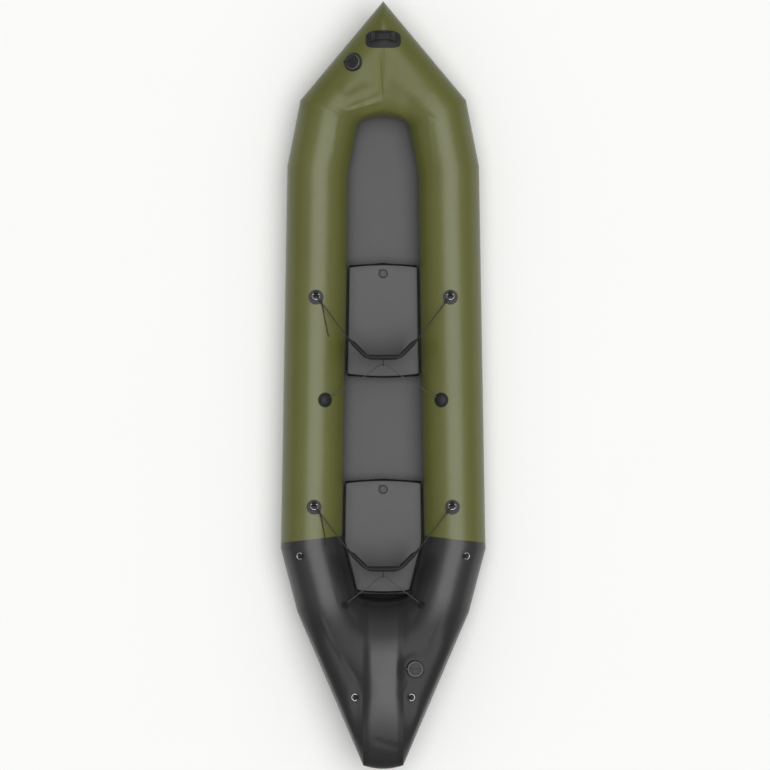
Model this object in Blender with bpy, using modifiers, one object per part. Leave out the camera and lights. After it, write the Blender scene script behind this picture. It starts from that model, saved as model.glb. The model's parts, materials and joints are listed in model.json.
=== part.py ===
"""Two-seat packraft: a ring of welded fabric tubes, with floor, seats, backrests, valves and lashing points.

Metres, +Y towards the bow, +X to starboard, +Z up.
The origin lies on the ground under the middle of the hull.
"""

import math

import bmesh
import bpy
from mathutils import Matrix, Vector
from mathutils.bvhtree import BVHTree

# Driving sizes of the hull
LENGTH = 3.60
BEAM = 0.96
TUBE = 0.288
SKIN = 0.0015
COCKPIT_FRONT = 0.544
COCKPIT_REAR = 0.792
BOW_RISE = 0.090
STERN_RISE = 0.100
STRIP_WIDTH = 0.188
TAIL_SPAN = 0.0207
STRIP_CROWN = 0.010
STERN_ROUND = 0.016
FLOOR_SHEET = 0.003

# Clearances
CONTACT = 0.0003
SEAM_GAP = 0.0006
DRAPE_GAP = 0.0011
HANDLE_GAP = 0.0014
MAT_GAP = 0.0008
CUT_OVERRUN = 0.020

# Driving sizes of the floor mat and seats
MAT = 0.052
MAT_TUCK = 0.018
SEAT_HEIGHT = 0.100
SEAT_GAP = 0.004
SEAT_BOW = 0.012
FRONT_SEAT_Y = (0.042, 0.562)
REAR_SEAT_Y = (-0.968, -0.450)

# Driving sizes of the backrests
BACKREST_HEIGHT = 0.260
BACKREST = 0.017
BACKREST_PANEL = 0.150
BACKREST_WING = 0.108
BACKREST_BEND = 0.030
FRONT_BACKREST_Y = 0.130
REAR_BACKREST_Y = -0.862
TAB_WIDTH = 0.018
TAB = 0.003
TAB_LENGTH = 0.034
TAB_HOLE = 0.0045
TAB_HEIGHT = 0.150

# Driving sizes of the lashing points
PATCH_RADIUS = 0.035
PATCH = 0.0020
WIRE = 0.0044
RING_WIDTH = 0.036
RING_LENGTH = 0.026
RING_CORNER = 0.006
WEBBING = 0.0016
WEBBING_WIDTH = 0.020
LOOP_ROOM = 0.0005
DOME_HEIGHT = 0.012
STERN_PATCH_RADIUS = 0.027
STERN_RING_WIDTH = 0.031
STERN_RING_LENGTH = 0.022
TIE_TAB = 0.020
TIE_TAB_HOLE = 0.006
SIDE_CORD = 0.005
BACK_CORD = 0.004

# Driving sizes of the bow handle
HANDLE_PAD_WIDTH = 0.166
HANDLE_PAD_LENGTH = 0.082
HANDLE_PAD = 0.0025
GRIP_LENGTH = 0.132
GRIP_WIDTH = 0.046
GRIP = 0.007
GRIP_RISE = 0.028

# Driving sizes of the main valves
VALVE_BARREL_RADIUS = 0.025
VALVE_WALL = 0.004
VALVE_FLANGE = 0.008
VALVE_RIM = 0.004
VALVE_PAD_MARGIN = 0.012
VALVE_PAD = 0.003
VALVE_DEPTH = 0.024
VALVE_FLOOR = 0.0025
VALVE_NECK = 0.009
CAP_SIDE = 0.0054
CAP_WALL = 0.0025
CAP_ROOM = 0.0006
STEM_RADIUS = 0.005
STEM_ROOM = 0.0008
BUTTON_RADIUS = 0.011
SEAL_RADIUS = 0.016
SEAL = 0.002
SPRING_RADIUS = 0.0085
SPRING_WIRE = 0.0012
SPRING_TURNS = 3

# Driving sizes of the seat valves
SEAT_VALVE_BARREL = 0.013
SEAT_VALVE_WALL = 0.003
SEAT_VALVE_FLANGE = 0.009
SEAT_VALVE_RIM = 0.003
SEAT_VALVE_DEPTH = 0.020
PLUG_LIP = 0.004
PLUG_HEAD = 0.004
PLUG_LENGTH = 0.012
SEAT_VALVE_SETBACK = 0.040

# Plan outline: share of half the length ahead of the middle, share of half the beam
SHOULDER_SHARES = (0.742, 0.810)
SIDE_FRONT_SHARES = (0.570, 0.937)
SIDE_REAR_SHARES = (-0.427, 1.0)
QUARTER_SHARE = -0.591
# Where the fittings stand: share of half the length ahead of the middle, share of the tube's width outboard
GREY_PATCH_SHARES = ((0.229, 0.4958), (-0.318, 0.4699))
DOME_SHARES = (-0.039, 0.3176)
TIE_TAB_SHARES = (-0.573, 0.4343)
STERN_PATCH_SHARES = ((-0.445, 0.7302), (-0.813, 0.5766))
HANDLE_SHARES = (0.900, 0.0)
BOW_VALVE_SHARES = (0.841, 0.5910)
STERN_VALVE_SHARES = (-0.740, 0.5205)

# Counts
AROUND = 24
CUSHION_AROUND = 20
TURNED_STEPS = 16
FINER = 4

RADIUS = TUBE / 2
HALF_LENGTH = LENGTH / 2
HALF_BEAM = BEAM / 2
TUBE_HEIGHT = FLOOR_SHEET + CONTACT + RADIUS
MAT_BASE = FLOOR_SHEET + MAT_GAP
SEAT_BASE = MAT_BASE + MAT + MAT_GAP
SEAT_TOP = SEAT_BASE + SEAT_HEIGHT
BACKREST_AXIS_HEIGHT = SEAT_TOP + CONTACT + BACKREST / 2
VALVE_BORE_RADIUS = VALVE_BARREL_RADIUS - VALVE_WALL
VALVE_RIM_RADIUS = VALVE_BARREL_RADIUS + VALVE_FLANGE
VALVE_PAD_RADIUS = VALVE_RIM_RADIUS + VALVE_PAD_MARGIN
CAP_RADIUS = VALVE_BARREL_RADIUS + CAP_ROOM + CAP_SIDE
SEAT_VALVE_BORE = SEAT_VALVE_BARREL - SEAT_VALVE_WALL
SEAT_VALVE_RADIUS = SEAT_VALVE_BARREL + SEAT_VALVE_FLANGE
PLUG_RADIUS = SEAT_VALVE_BORE + PLUG_LIP


def clear_scene():
    for old in list(bpy.data.objects):
        bpy.data.objects.remove(old, do_unlink=True)


def new_collection(name):
    made = bpy.data.collections.new(name)
    bpy.context.scene.collection.children.link(made)
    return made


clear_scene()
PARTS = new_collection("packraft")
CUTTERS = new_collection("cutters")


# Materials


def material(name, colour, roughness, metallic=0.0):
    made = bpy.data.materials.new(name)
    made.use_nodes = True
    shader = made.node_tree.nodes["Principled BSDF"]
    shader.inputs["Base Color"].default_value = (*colour, 1.0)
    shader.inputs["Roughness"].default_value = roughness
    shader.inputs["Metallic"].default_value = metallic
    made.diffuse_color = (*colour, 1.0)
    return made


FINISHES = {
    "green_fabric": material("green_fabric", (0.125, 0.130, 0.044), 0.45),
    "black_fabric": material("black_fabric", (0.022, 0.022, 0.023), 0.45),
    "floor_fabric": material("floor_fabric", (0.035, 0.035, 0.036), 0.60),
    "grey_fabric": material("grey_fabric", (0.125, 0.125, 0.125), 0.60),
    "backrest_fabric": material("backrest_fabric", (0.050, 0.050, 0.052), 0.65),
    "grey_patch": material("grey_patch", (0.085, 0.085, 0.088), 0.55),
    "black_rubber": material("black_rubber", (0.020, 0.020, 0.022), 0.50),
    "black_plastic": material("black_plastic", (0.018, 0.018, 0.020), 0.35),
    "grey_plastic": material("grey_plastic", (0.150, 0.150, 0.155), 0.40),
    "cord": material("cord", (0.022, 0.024, 0.018), 0.70),
    "steel": material("steel", (0.60, 0.60, 0.60), 0.25, 1.0),
}


# Mesh helpers


def mesh_object(name, points, faces, finish, origin=None, helper=False):
    """An object of these world points, with its origin where it is told."""
    origin = Vector(origin) if origin is not None else Vector((0, 0, 0))
    mesh = bpy.data.meshes.new(name)
    mesh.from_pydata([tuple(Vector(p) - origin) for p in points], [], faces)
    work = bmesh.new()
    work.from_mesh(mesh)
    bmesh.ops.recalc_face_normals(work, faces=work.faces)
    work.to_mesh(mesh)
    work.free()
    mesh.shade_smooth()
    mesh.set_sharp_from_angle(angle=math.radians(35))
    return placed(name, mesh, finish, Matrix.Translation(origin), helper)


def placed(name, mesh, finish, frame, helper=False):
    """Puts a mesh or curve in the scene in a frame."""
    made = bpy.data.objects.new(name, mesh)
    mesh.materials.clear()
    mesh.materials.append(FINISHES[finish])
    made.matrix_world = frame
    if helper:
        made.hide_render = True
        made.display_type = "WIRE"
    (CUTTERS if helper else PARTS).objects.link(made)
    return made


def ring_faces(rings, size, first=0):
    """Quads between rings of points that are stored one after another."""
    return [
        (
            first + i * size + k,
            first + i * size + (k + 1) % size,
            first + (i + 1) * size + (k + 1) % size,
            first + (i + 1) * size + k,
        )
        for i in range(rings - 1)
        for k in range(size)
    ]


def closed_loft(name, rings, finish, origin=None, helper=False):
    """A solid through rings of equal count, closed at each end by a fan."""
    size = len(rings[0])
    points = [p for ring in rings for p in ring]
    faces = ring_faces(len(rings), size)
    for ring, start in ((rings[0], 0), (rings[-1], (len(rings) - 1) * size)):
        middle = sum((Vector(p) for p in ring), Vector((0, 0, 0))) / size
        points.append(middle)
        faces += [(start + k, start + (k + 1) % size, len(points) - 1) for k in range(size)]
    return mesh_object(name, points, faces, finish, origin, helper)


def open_shell(name, outer, inner, finish):
    """A hollow skin between outer and inner rings, open at both ends."""
    size = len(outer[0])
    count = len(outer)
    points = [p for ring in outer + inner for p in ring]
    shift = count * size
    faces = ring_faces(count, size)
    faces += [face[::-1] for face in ring_faces(count, size, shift)]
    for start in (0, (count - 1) * size):
        faces += [
            (start + k, start + (k + 1) % size, shift + start + (k + 1) % size, shift + start + k)
            for k in range(size)
        ]
    return mesh_object(name, points, faces, finish)


def boolean(obj, tool, operation):
    made = obj.modifiers.new(operation.lower(), "BOOLEAN")
    made.operation = operation
    made.object = tool
    return made


def cylinder(name, radius, low, high, frame):
    """A cylinder cutter along the frame's Z."""
    work = bmesh.new()
    bmesh.ops.create_cone(
        work, cap_ends=True, segments=TURNED_STEPS, radius1=radius, radius2=radius, depth=high - low
    )
    mesh = bpy.data.meshes.new(name)
    work.to_mesh(mesh)
    work.free()
    middle = Matrix.Translation((0, 0, (low + high) / 2))
    return placed(name, mesh, "black_plastic", frame @ middle, helper=True)


def turned(name, profile, finish, frame, closed=False):
    """A profile of radius and height, from the top of the outer side down, turned about the frame's Z."""
    mesh = bpy.data.meshes.new(name)
    edges = [(i, i + 1) for i in range(len(profile) - 1)]
    if closed:
        edges.append((len(profile) - 1, 0))
    mesh.from_pydata([(radius, 0, height) for radius, height in profile], edges, [])
    made = placed(name, mesh, finish, frame)
    screw = made.modifiers.new("turn", "SCREW")
    screw.axis = "Z"
    screw.angle = math.tau
    screw.steps = TURNED_STEPS
    screw.render_steps = TURNED_STEPS
    screw.use_merge_vertices = True
    screw.merge_threshold = 0.00001
    screw.use_smooth_shade = True
    return made


def tube(name, points, diameter, finish, frame=None, cyclic=False, sides=2):
    """A round wire or cord along points."""
    curve = bpy.data.curves.new(name, "CURVE")
    curve.dimensions = "3D"
    spline = curve.splines.new("POLY")
    spline.points.add(len(points) - 1)
    for point, place in zip(spline.points, points):
        point.co = (*place, 1.0)
    spline.use_cyclic_u = cyclic
    curve.bevel_depth = diameter / 2
    curve.bevel_resolution = sides
    curve.use_fill_caps = not cyclic
    return placed(name, curve, finish, frame or Matrix.Identity(4))


# Hull sections


def plan_point(shares):
    """Plan place of a pair of shares: along the hull, then across it."""
    return Vector((shares[1] * HALF_BEAM, shares[0] * HALF_LENGTH))


def lift(y):
    """Upward sweep of the bow ahead of the side tubes, and of the stern behind them."""
    front = plan_point(SIDE_FRONT_SHARES).y
    rear = plan_point(SIDE_REAR_SHARES).y
    if y > front:
        return BOW_RISE * ((y - front) / (HALF_LENGTH - front)) ** 2
    if y < rear:
        return STERN_RISE * ((rear - y) / (rear + HALF_LENGTH)) ** 2
    return 0.0


def inward(run):
    """Normal of a run of the starboard outline, towards the centreline."""
    return Vector((run.y, -run.x)).normalized()


def mitre(before, corner, after):
    """Outer, crest and inner plan points of the mitred section where two tubes meet."""
    first = inward(corner - before)
    across = (first + inward(after - corner)).normalized()
    reach = TUBE / across.dot(first)
    return corner, corner + across * reach / 2, corner + across * reach


BOW_TIP = Vector((0, HALF_LENGTH))
SHOULDER = plan_point(SHOULDER_SHARES)
SIDE_FRONT = plan_point(SIDE_FRONT_SHARES)
SIDE_REAR = plan_point(SIDE_REAR_SHARES)
QUARTER = Vector((STRIP_WIDTH / 2 + TUBE + TAIL_SPAN, QUARTER_SHARE * HALF_LENGTH))
STERN_CORNER = Vector((STRIP_WIDTH / 2, -HALF_LENGTH + STERN_ROUND))
OUTLINE = (BOW_TIP, SHOULDER, SIDE_FRONT, SIDE_REAR, QUARTER, STERN_CORNER)
SHOULDER_MITRE = mitre(BOW_TIP, SHOULDER, SIDE_FRONT)
SIDE_FRONT_MITRE = mitre(SHOULDER, SIDE_FRONT, SIDE_REAR)
SIDE_REAR_MITRE = mitre(SIDE_FRONT, SIDE_REAR, QUARTER)
QUARTER_MITRE = mitre(SIDE_REAR, QUARTER, STERN_CORNER)
INNER_RIMS = (SHOULDER_MITRE[2], SIDE_FRONT_MITRE[2], SIDE_REAR_MITRE[2], QUARTER_MITRE[2])


def arch_front(turn):
    """Inner rim of the bow from the centreline, turn 0, to the shoulder, turn a right angle."""
    end = SHOULDER_MITRE[2]
    apex = HALF_LENGTH - COCKPIT_FRONT
    return Vector((end.x * math.sin(turn), end.y + (apex - end.y) * math.cos(turn)))


def arch_rear(turn):
    """Inner rim of the stern deck, in the same way."""
    end = QUARTER_MITRE[2]
    apex = -HALF_LENGTH + COCKPIT_REAR
    return Vector((end.x * math.sin(turn), end.y + (apex - end.y) * math.cos(turn)))


def bow_section(share):
    """Section of the bow tube, from the centreline at 0 to the shoulder at 1."""
    run = SHOULDER - BOW_TIP
    crest = BOW_TIP - Vector((0, RADIUS * run.length / run.x))
    return (
        BOW_TIP.lerp(SHOULDER, share),
        crest.lerp(SHOULDER_MITRE[1], share),
        arch_front(share * math.pi / 2),
    )


def strip_crest():
    """Where the crest of the tail tube meets the edge of the stern strip."""
    run = STERN_CORNER - QUARTER
    start = QUARTER_MITRE[1]
    return start + run * (STRIP_WIDTH / 2 - start.x) / run.x


def tail_section(share):
    """Section of the tail tube, from the quarter at 0 to the stern strip at 1."""
    turn_end = math.asin(STRIP_WIDTH / 2 / QUARTER_MITRE[2].x)
    turn = math.pi / 2 + (turn_end - math.pi / 2) * share
    return (
        QUARTER.lerp(STERN_CORNER, share),
        QUARTER_MITRE[1].lerp(strip_crest(), share),
        arch_rear(turn),
    )


def strip_section(share):
    """Section of the raised stern strip, from its starboard edge at 0 to its port edge at 1."""
    across = 1 - 2 * share
    x = across * STRIP_WIDTH / 2
    turn = math.asin(abs(x) / QUARTER_MITRE[2].x)
    return (
        Vector((x, -HALF_LENGTH + STERN_ROUND * across * across)),
        Vector((x, strip_crest().y)),
        Vector((x, arch_rear(turn).y)),
    )


def between(first, second):
    """Section function between two given sections."""
    return lambda share: tuple(a.lerp(b, share) for a, b in zip(first, second))


def section_ring(section, inset=0.0, crown=0.0, around=AROUND):
    """Points round one section; inset draws it in towards its crest line, crown raises its top."""
    outer, crest, inner = section
    scale = (RADIUS - inset) / RADIUS
    ring = []
    for k in range(around):
        turn = math.tau * k / around
        reach = outer - crest if math.cos(turn) >= 0 else crest - inner
        plan = crest + reach * math.cos(turn) * scale
        height = TUBE_HEIGHT + lift(plan.y) + RADIUS * scale * math.sin(turn)
        height += crown * max(0.0, math.sin(turn)) * fade_in(-plan.y)
        ring.append(Vector((plan.x, plan.y, height)))
    return ring


def fade_in(back):
    """Grows from 0 to 1 where the stern strip starts behind the cockpit."""
    start = HALF_LENGTH - COCKPIT_REAR
    end = -strip_crest().y
    share = min(1.0, max(0.0, (back - start) / (end - start)))
    return share * share * (3 - 2 * share)


hull_points = []
hull_faces = []


def remember_surface(rings):
    """Keeps the outer surface, which the fittings are laid on."""
    hull_faces.extend(ring_faces(len(rings), len(rings[0]), len(hull_points)))
    hull_points.extend(point for ring in rings for point in ring)


def mirrored(rings):
    return [[Vector((-p.x, p.y, p.z)) for p in ring] for ring in rings]


def section_shares(section, steps):
    """Even shares along a segment, drawn back from both seams."""
    run = (section(1)[1] - section(0)[1]).length
    back = SEAM_GAP / 2 / run
    return [back + (1 - 2 * back) * i / steps for i in range(steps + 1)]


def tube_pair(name, section, steps, finish):
    """Port and starboard skins of one tube segment."""
    for fine in (1, FINER):
        count = steps * fine
        whole = [section_ring(section(i / count), around=AROUND * fine) for i in range(count + 1)]
        remember_surface(whole)
        remember_surface(mirrored(whole))
    shares = section_shares(section, steps)
    outer = [section_ring(section(share)) for share in shares]
    inner = [section_ring(section(share), SKIN) for share in shares]
    starboard = open_shell(name + "_starboard", outer, inner, finish)
    port = open_shell(name + "_port", mirrored(outer), mirrored(inner), finish)
    return port, starboard


def stern_strip(steps=4):
    """The raised centre panel of the stern, between the two tail tubes."""
    shares = section_shares(strip_section, steps)
    crowns = [STRIP_CROWN * (1 - (1 - 2 * share) ** 2) for share in shares]
    outer = [section_ring(strip_section(s), 0.0, crown) for s, crown in zip(shares, crowns)]
    inner = [section_ring(strip_section(s), SKIN, crown) for s, crown in zip(shares, crowns)]
    remember_surface(outer)
    return open_shell("stern_strip", outer, inner, "black_fabric")


SEGMENTS = (
    ("bow", bow_section, 5, "green_fabric"),
    ("shoulder", between(SHOULDER_MITRE, SIDE_FRONT_MITRE), 2, "green_fabric"),
    ("side", between(SIDE_FRONT_MITRE, SIDE_REAR_MITRE), 1, "green_fabric"),
    ("quarter", between(SIDE_REAR_MITRE, QUARTER_MITRE), 2, "black_fabric"),
    ("tail", tail_section, 4, "black_fabric"),
)


def make_hull():
    skins = {}
    for name, section, steps, finish in SEGMENTS:
        skins[name] = tube_pair(name, section, steps, finish)
    stern_strip()
    return skins


FLOOR_NOSE_SHARE = 0.25


def make_floor_sheet():
    """The sheet that closes the hull below, under the crest line of every tube."""
    places = []
    for _, section, steps, _ in SEGMENTS:
        places += [section(i / steps)[1] for i in range(steps + 1)]
    rows = [places[0].lerp(places[1], FLOOR_NOSE_SHARE)]
    for place in places[1:]:
        if rows[-1].y - place.y > SEAM_GAP:
            rows.append(place)
    rings = []
    for place in rows:
        low = lift(place.y)
        high = low + FLOOR_SHEET
        corners = ((place.x, low), (0, low), (-place.x, low), (-place.x, high), (0, high), (place.x, high))
        rings.append([Vector((x, place.y, z)) for x, z in corners])
    return closed_loft("floor_sheet", rings, "floor_fabric")


# Widths of the hull


def width_along(places, y):
    """Distance from the centreline of a line of plan places, taken from the bow back."""
    for ahead, behind in zip(places, places[1:]):
        if y >= behind.y:
            return ahead.x + (behind.x - ahead.x) * (ahead.y - y) / (ahead.y - behind.y)
    return places[-1].x


def cockpit_half_width(y):
    """Half the clear width between the tubes at mid height."""
    front, rear = INNER_RIMS[0], INNER_RIMS[-1]
    if y > front.y:
        share = min(1.0, (y - front.y) / (HALF_LENGTH - COCKPIT_FRONT - front.y))
        return front.x * math.sqrt(1 - share * share)
    if y < rear.y:
        share = min(1.0, (rear.y - y) / (rear.y + HALF_LENGTH - COCKPIT_REAR))
        return rear.x * math.sqrt(1 - share * share)
    return width_along(INNER_RIMS, y)


def tube_place(shares, side):
    """Plan place on a tube: a share of half the length ahead, and a share of the tube's width outboard."""
    y = shares[0] * HALF_LENGTH
    inner = cockpit_half_width(y)
    return Vector(((inner + (width_along(OUTLINE, y) - inner) * shares[1]) * side, y))


# Cushions

# Exponents of the cushions' rounding: across the section, then along the ends
SIDE_POWER = 0.55
TOP_POWER = 0.62
BOTTOM_POWER = 0.25
SEAT_END_POWER = 9
MAT_END_POWER = 40
CUSHION_END_SHARES = (0.0, 0.012, 0.04, 0.1, 0.2, 0.34, 0.5, 0.66, 0.8, 0.9, 0.96, 0.988, 1.0)
FIRST_RING_SHARE = 0.45
END_DRAW_SHARE = 1 / 3
MAT_STEPS = 14


def power(value, exponent):
    return math.copysign(abs(value) ** exponent, value)


def cushion_ring(y, half_width, base, height, full_height, bow):
    """A flat-bottomed, crowned section across a cushion."""
    ring = []
    for k in range(CUSHION_AROUND):
        turn = math.tau * k / CUSHION_AROUND
        x = half_width * power(math.cos(turn), SIDE_POWER)
        upright = power(math.sin(turn), TOP_POWER if math.sin(turn) > 0 else BOTTOM_POWER)
        z = base + full_height / 2 + height / 2 * upright
        ring.append(Vector((x, y + bow * (1 - (x / half_width) ** 2), z)))
    return ring


def end_fullness(share, end_power):
    """Share of the full height of a cushion at a share of its length, drawn in at both ends."""
    edge = abs(2 * share - 1)
    return FIRST_RING_SHARE + (1 - FIRST_RING_SHARE) * (1 - edge**end_power) ** (1 / 3)


def cushion(name, rear, front, base, height, half_width, bow, finish):
    """A cushion lying between two places along the hull, with rounded ends that bow out."""
    rings = []
    for share in CUSHION_END_SHARES:
        y = rear + (front - rear) * share
        fullness = end_fullness(share, SEAT_END_POWER)
        reach = bow * (2 * share - 1)
        width = half_width(y) - (1 - fullness) * height * END_DRAW_SHARE
        rings.append(cushion_ring(y, width, base + lift(y), height * fullness, height, reach))
    return closed_loft(name, rings, finish)


def mat_half_width(y):
    """Half width of the floor mat, which reaches under the tubes all round."""
    front = HALF_LENGTH - COCKPIT_FRONT
    rear = -HALF_LENGTH + COCKPIT_REAR
    middle = (front + rear) / 2
    stretch = (front - rear) / (front - rear + 2 * MAT_TUCK)
    return cockpit_half_width(middle + (y - middle) * stretch) + MAT_TUCK


def make_floor_mat():
    front = HALF_LENGTH - COCKPIT_FRONT + MAT_TUCK / 2
    rear = -HALF_LENGTH + COCKPIT_REAR - MAT_TUCK / 2
    rings = []
    for i in range(MAT_STEPS + 1):
        even = i / MAT_STEPS
        share = ((1 - math.cos(math.pi * even)) / 2 + even) / 2
        y = rear + (front - rear) * share
        height = MAT * end_fullness(share, MAT_END_POWER)
        rings.append(cushion_ring(y, mat_half_width(y), MAT_BASE + lift(y), height, MAT, 0.0))
    return closed_loft("floor_mat", rings, "grey_fabric")


def seat_half_width(y):
    return cockpit_half_width(y) - SEAT_GAP


def make_seats():
    seats = []
    for name, (rear, front) in (("front_seat", FRONT_SEAT_Y), ("rear_seat", REAR_SEAT_Y)):
        seats.append(
            cushion(name, rear, front, SEAT_BASE, SEAT_HEIGHT, seat_half_width, SEAT_BOW, "grey_fabric")
        )
    return seats


# Backrests

BEND_ANGLE = math.pi / 4
WING_SLOPE_SHARE = 1.25
WING_DROP_SHARE = 0.22
TIP_DROP_SHARE = 0.08
TIP_SHARES = (0.85, 0.55)
BACKREST_AROUND = 12
TAB_ROOT_SHARE = 0.25


def backrest_place(along):
    """Plan place and direction of the panel's middle surface, so far from its centre to starboard."""
    flat = (BACKREST_PANEL - BACKREST_BEND) / 2
    radius = BACKREST_BEND / BEND_ANGLE
    turn = min(max((along - flat) / radius, 0.0), BEND_ANGLE)
    rest = max(0.0, along - flat - BACKREST_BEND)
    x = min(along, flat) + radius * math.sin(turn) + rest * math.cos(turn)
    y = radius * (1 - math.cos(turn)) + rest * math.sin(turn)
    return Vector((x, y)), turn


def backrest_ring(along, thickness_share, drop_share):
    """Upright rounded section of the panel; its lower edge is round about the hinge axis."""
    place, turn = backrest_place(abs(along))
    wing = max(0.0, abs(along) - BACKREST_PANEL / 2) / (BACKREST_WING + BACKREST_BEND / 2)
    half = BACKREST / 2 * thickness_share
    low = place.y * WING_SLOPE_SHARE + (1 - thickness_share) * BACKREST
    high = BACKREST_HEIGHT - BACKREST / 2 - BACKREST_HEIGHT * (WING_DROP_SHARE * wing**2 + drop_share)
    side = math.copysign(1.0, along)
    ring = []
    for k in range(BACKREST_AROUND):
        angle = math.tau * (k + 0.5) / BACKREST_AROUND
        out = half * math.cos(angle)
        height = (high if math.sin(angle) > 0 else low) + half * math.sin(angle)
        x = side * (place.x + out * math.sin(turn))
        ring.append(Vector((x, place.y - out * math.cos(turn), height)))
    return ring


def backrest(name, y):
    """A padded panel whose side wings bend forward, with a cord tab on its back."""
    flat = (BACKREST_PANEL - BACKREST_BEND) / 2
    end = flat + BACKREST_BEND + BACKREST_WING
    stations = [(0.0, 1.0, 0.0), (flat, 1.0, 0.0), (flat + BACKREST_BEND / 3, 1.0, 0.0)]
    stations += [(flat + BACKREST_BEND * 2 / 3, 1.0, 0.0), (flat + BACKREST_BEND, 1.0, 0.0)]
    stations += [(flat + BACKREST_BEND + BACKREST_WING / 2, 1.0, 0.0), (end - BACKREST, 1.0, 0.0)]
    stations += [(end - BACKREST / 4, TIP_SHARES[0], TIP_DROP_SHARE / 2)]
    stations += [(end, TIP_SHARES[1], TIP_DROP_SHARE)]
    both = [(-a, t, d) for a, t, d in reversed(stations[1:])] + stations
    axis = Vector((0, y, BACKREST_AXIS_HEIGHT + lift(y)))
    rings = [[p + axis for p in backrest_ring(*station)] for station in both]
    panel = closed_loft(name, rings, "backrest_fabric", axis)
    tab = cord_tab(name, axis)
    boolean(panel, tab, "UNION")


def cord_tab(name, axis):
    """The upright webbing tab on the back of a backrest, with a hole across for its cord."""
    reach = BACKREST * TAB_ROOT_SHARE
    work = bmesh.new()
    bmesh.ops.create_cube(work, size=1.0)
    size = Vector((TAB, TAB_LENGTH + reach, TAB_WIDTH))
    middle = Vector((0, -BACKREST / 2 - TAB_LENGTH / 2 + reach / 2, TAB_HEIGHT))
    for corner in work.verts:
        corner.co = Vector(a * b for a, b in zip(corner.co, size)) + middle
    mesh = bpy.data.meshes.new(name + "_tab")
    work.to_mesh(mesh)
    work.free()
    tab = placed(name + "_tab", mesh, "black_rubber", Matrix.Translation(axis), helper=True)
    hole = tab_hole_place()
    across = Matrix.Translation(axis + hole) @ Matrix.Rotation(math.pi / 2, 4, "Y")
    boolean(tab, cylinder(name + "_tab_hole", TAB_HOLE, -CUT_OVERRUN, CUT_OVERRUN, across), "DIFFERENCE")
    return tab


def tab_hole_place():
    """Centre of the tab's hole, from the backrest's hinge axis."""
    return Vector((0, -BACKREST / 2 - TAB_LENGTH + TAB_HOLE * 2, TAB_HEIGHT))


# Fittings laid on a surface


def surface_of(obj):
    """Search tree of an object's own mesh, before any holes are cut in it."""
    origin = obj.location
    points = [vertex.co + origin for vertex in obj.data.vertices]
    return BVHTree.FromPolygons(points, [tuple(face.vertices) for face in obj.data.polygons])


def on_surface(tree, x, y):
    """The highest point of a surface at a plan place."""
    return tree.ray_cast(Vector((x, y, LENGTH)), Vector((0, 0, -1)))[0]


def surface_frame(tree, x, y, reach, toward):
    """Frame on a surface: Z along its mean normal over the reach, and -Y towards a plan direction."""
    along = on_surface(tree, x, y + reach) - on_surface(tree, x, y - reach)
    across = on_surface(tree, x + reach, y) - on_surface(tree, x - reach, y)
    up = across.cross(along).normalized()
    back = -Vector((*toward, 0))
    ahead = (back - up * back.dot(up)).normalized()
    side = ahead.cross(up)
    frame = Matrix((side, ahead, up)).transposed().to_4x4()
    frame.translation = on_surface(tree, x, y)
    return frame


def height_in(frame, tree, u, v):
    """Height of the surface above a frame's plane."""
    start = frame @ Vector((u, v, TUBE))
    hit = tree.ray_cast(start, -(frame.to_3x3() @ Vector((0, 0, 1))))[0]
    return TUBE - (hit - start).length


def rounded_unit(turn, square):
    """Point of a unit circle, or of a rounder or squarer outline of the same width, in a direction."""
    x, y = math.cos(turn), math.sin(turn)
    reach = (abs(x) ** square + abs(y) ** square) ** (-1 / square)
    return x * reach, y * reach


def draped(
    name, frame, tree, half_sizes, top, finish, gap=DRAPE_GAP, square=2, bore=0.0, circles=2, around=18
):
    """A patch whose underside follows the surface.

    Its top is a function of the share of the way out and of the underside there.
    """
    shares = [i / circles for i in range(circles + 1)]
    low = []
    high = []
    for share in shares[0 if bore else 1 :]:
        lows = []
        highs = []
        for k in range(around):
            unit = rounded_unit(math.tau * k / around, square)
            place = [(bore + (half - bore) * share) * value for half, value in zip(half_sizes, unit)]
            under = height_in(frame, tree, *place) + gap
            lows.append(Vector((*place, under)))
            highs.append(Vector((*place, top(share, under))))
        low.append(lows)
        high.append(highs)
    rings = low + high[::-1]
    points = [p for ring in rings for p in ring]
    faces = ring_faces(len(rings), around)
    if bore:
        last = (len(rings) - 1) * around
        faces += [(last + k, last + (k + 1) % around, (k + 1) % around, k) for k in range(around)]
    else:
        under = height_in(frame, tree, 0, 0) + gap
        for start, height in ((0, under), ((len(rings) - 1) * around, top(0, under))):
            points.append(Vector((0, 0, height)))
            faces += [(start + k, start + (k + 1) % around, len(points) - 1) for k in range(around)]
    made = mesh_object(name, points, faces, finish)
    made.matrix_world = frame
    return made


PATCH_EDGE_POWER = 6
DOME_SHARE = 0.8
ARCH_STEPS = 8


def patch_top(thickness):
    """Upper side of a patch that thins to half at its rim."""
    return lambda share, under: under + thickness * (1 - share**PATCH_EDGE_POWER / 2)


def dome_top(share, under):
    """Upper side of a patch with a moulded dome."""
    rise = math.sqrt(max(0.0, 1 - (share / DOME_SHARE) ** 2))
    return under + PATCH / 2 + DOME_HEIGHT * rise


def half_turn(radius):
    """Points of half a circle, from one side over the top to the other."""
    turns = [math.pi * i / ARCH_STEPS for i in range(ARCH_STEPS + 1)]
    return [(radius * math.cos(turn), radius * math.sin(turn)) for turn in turns]


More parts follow.
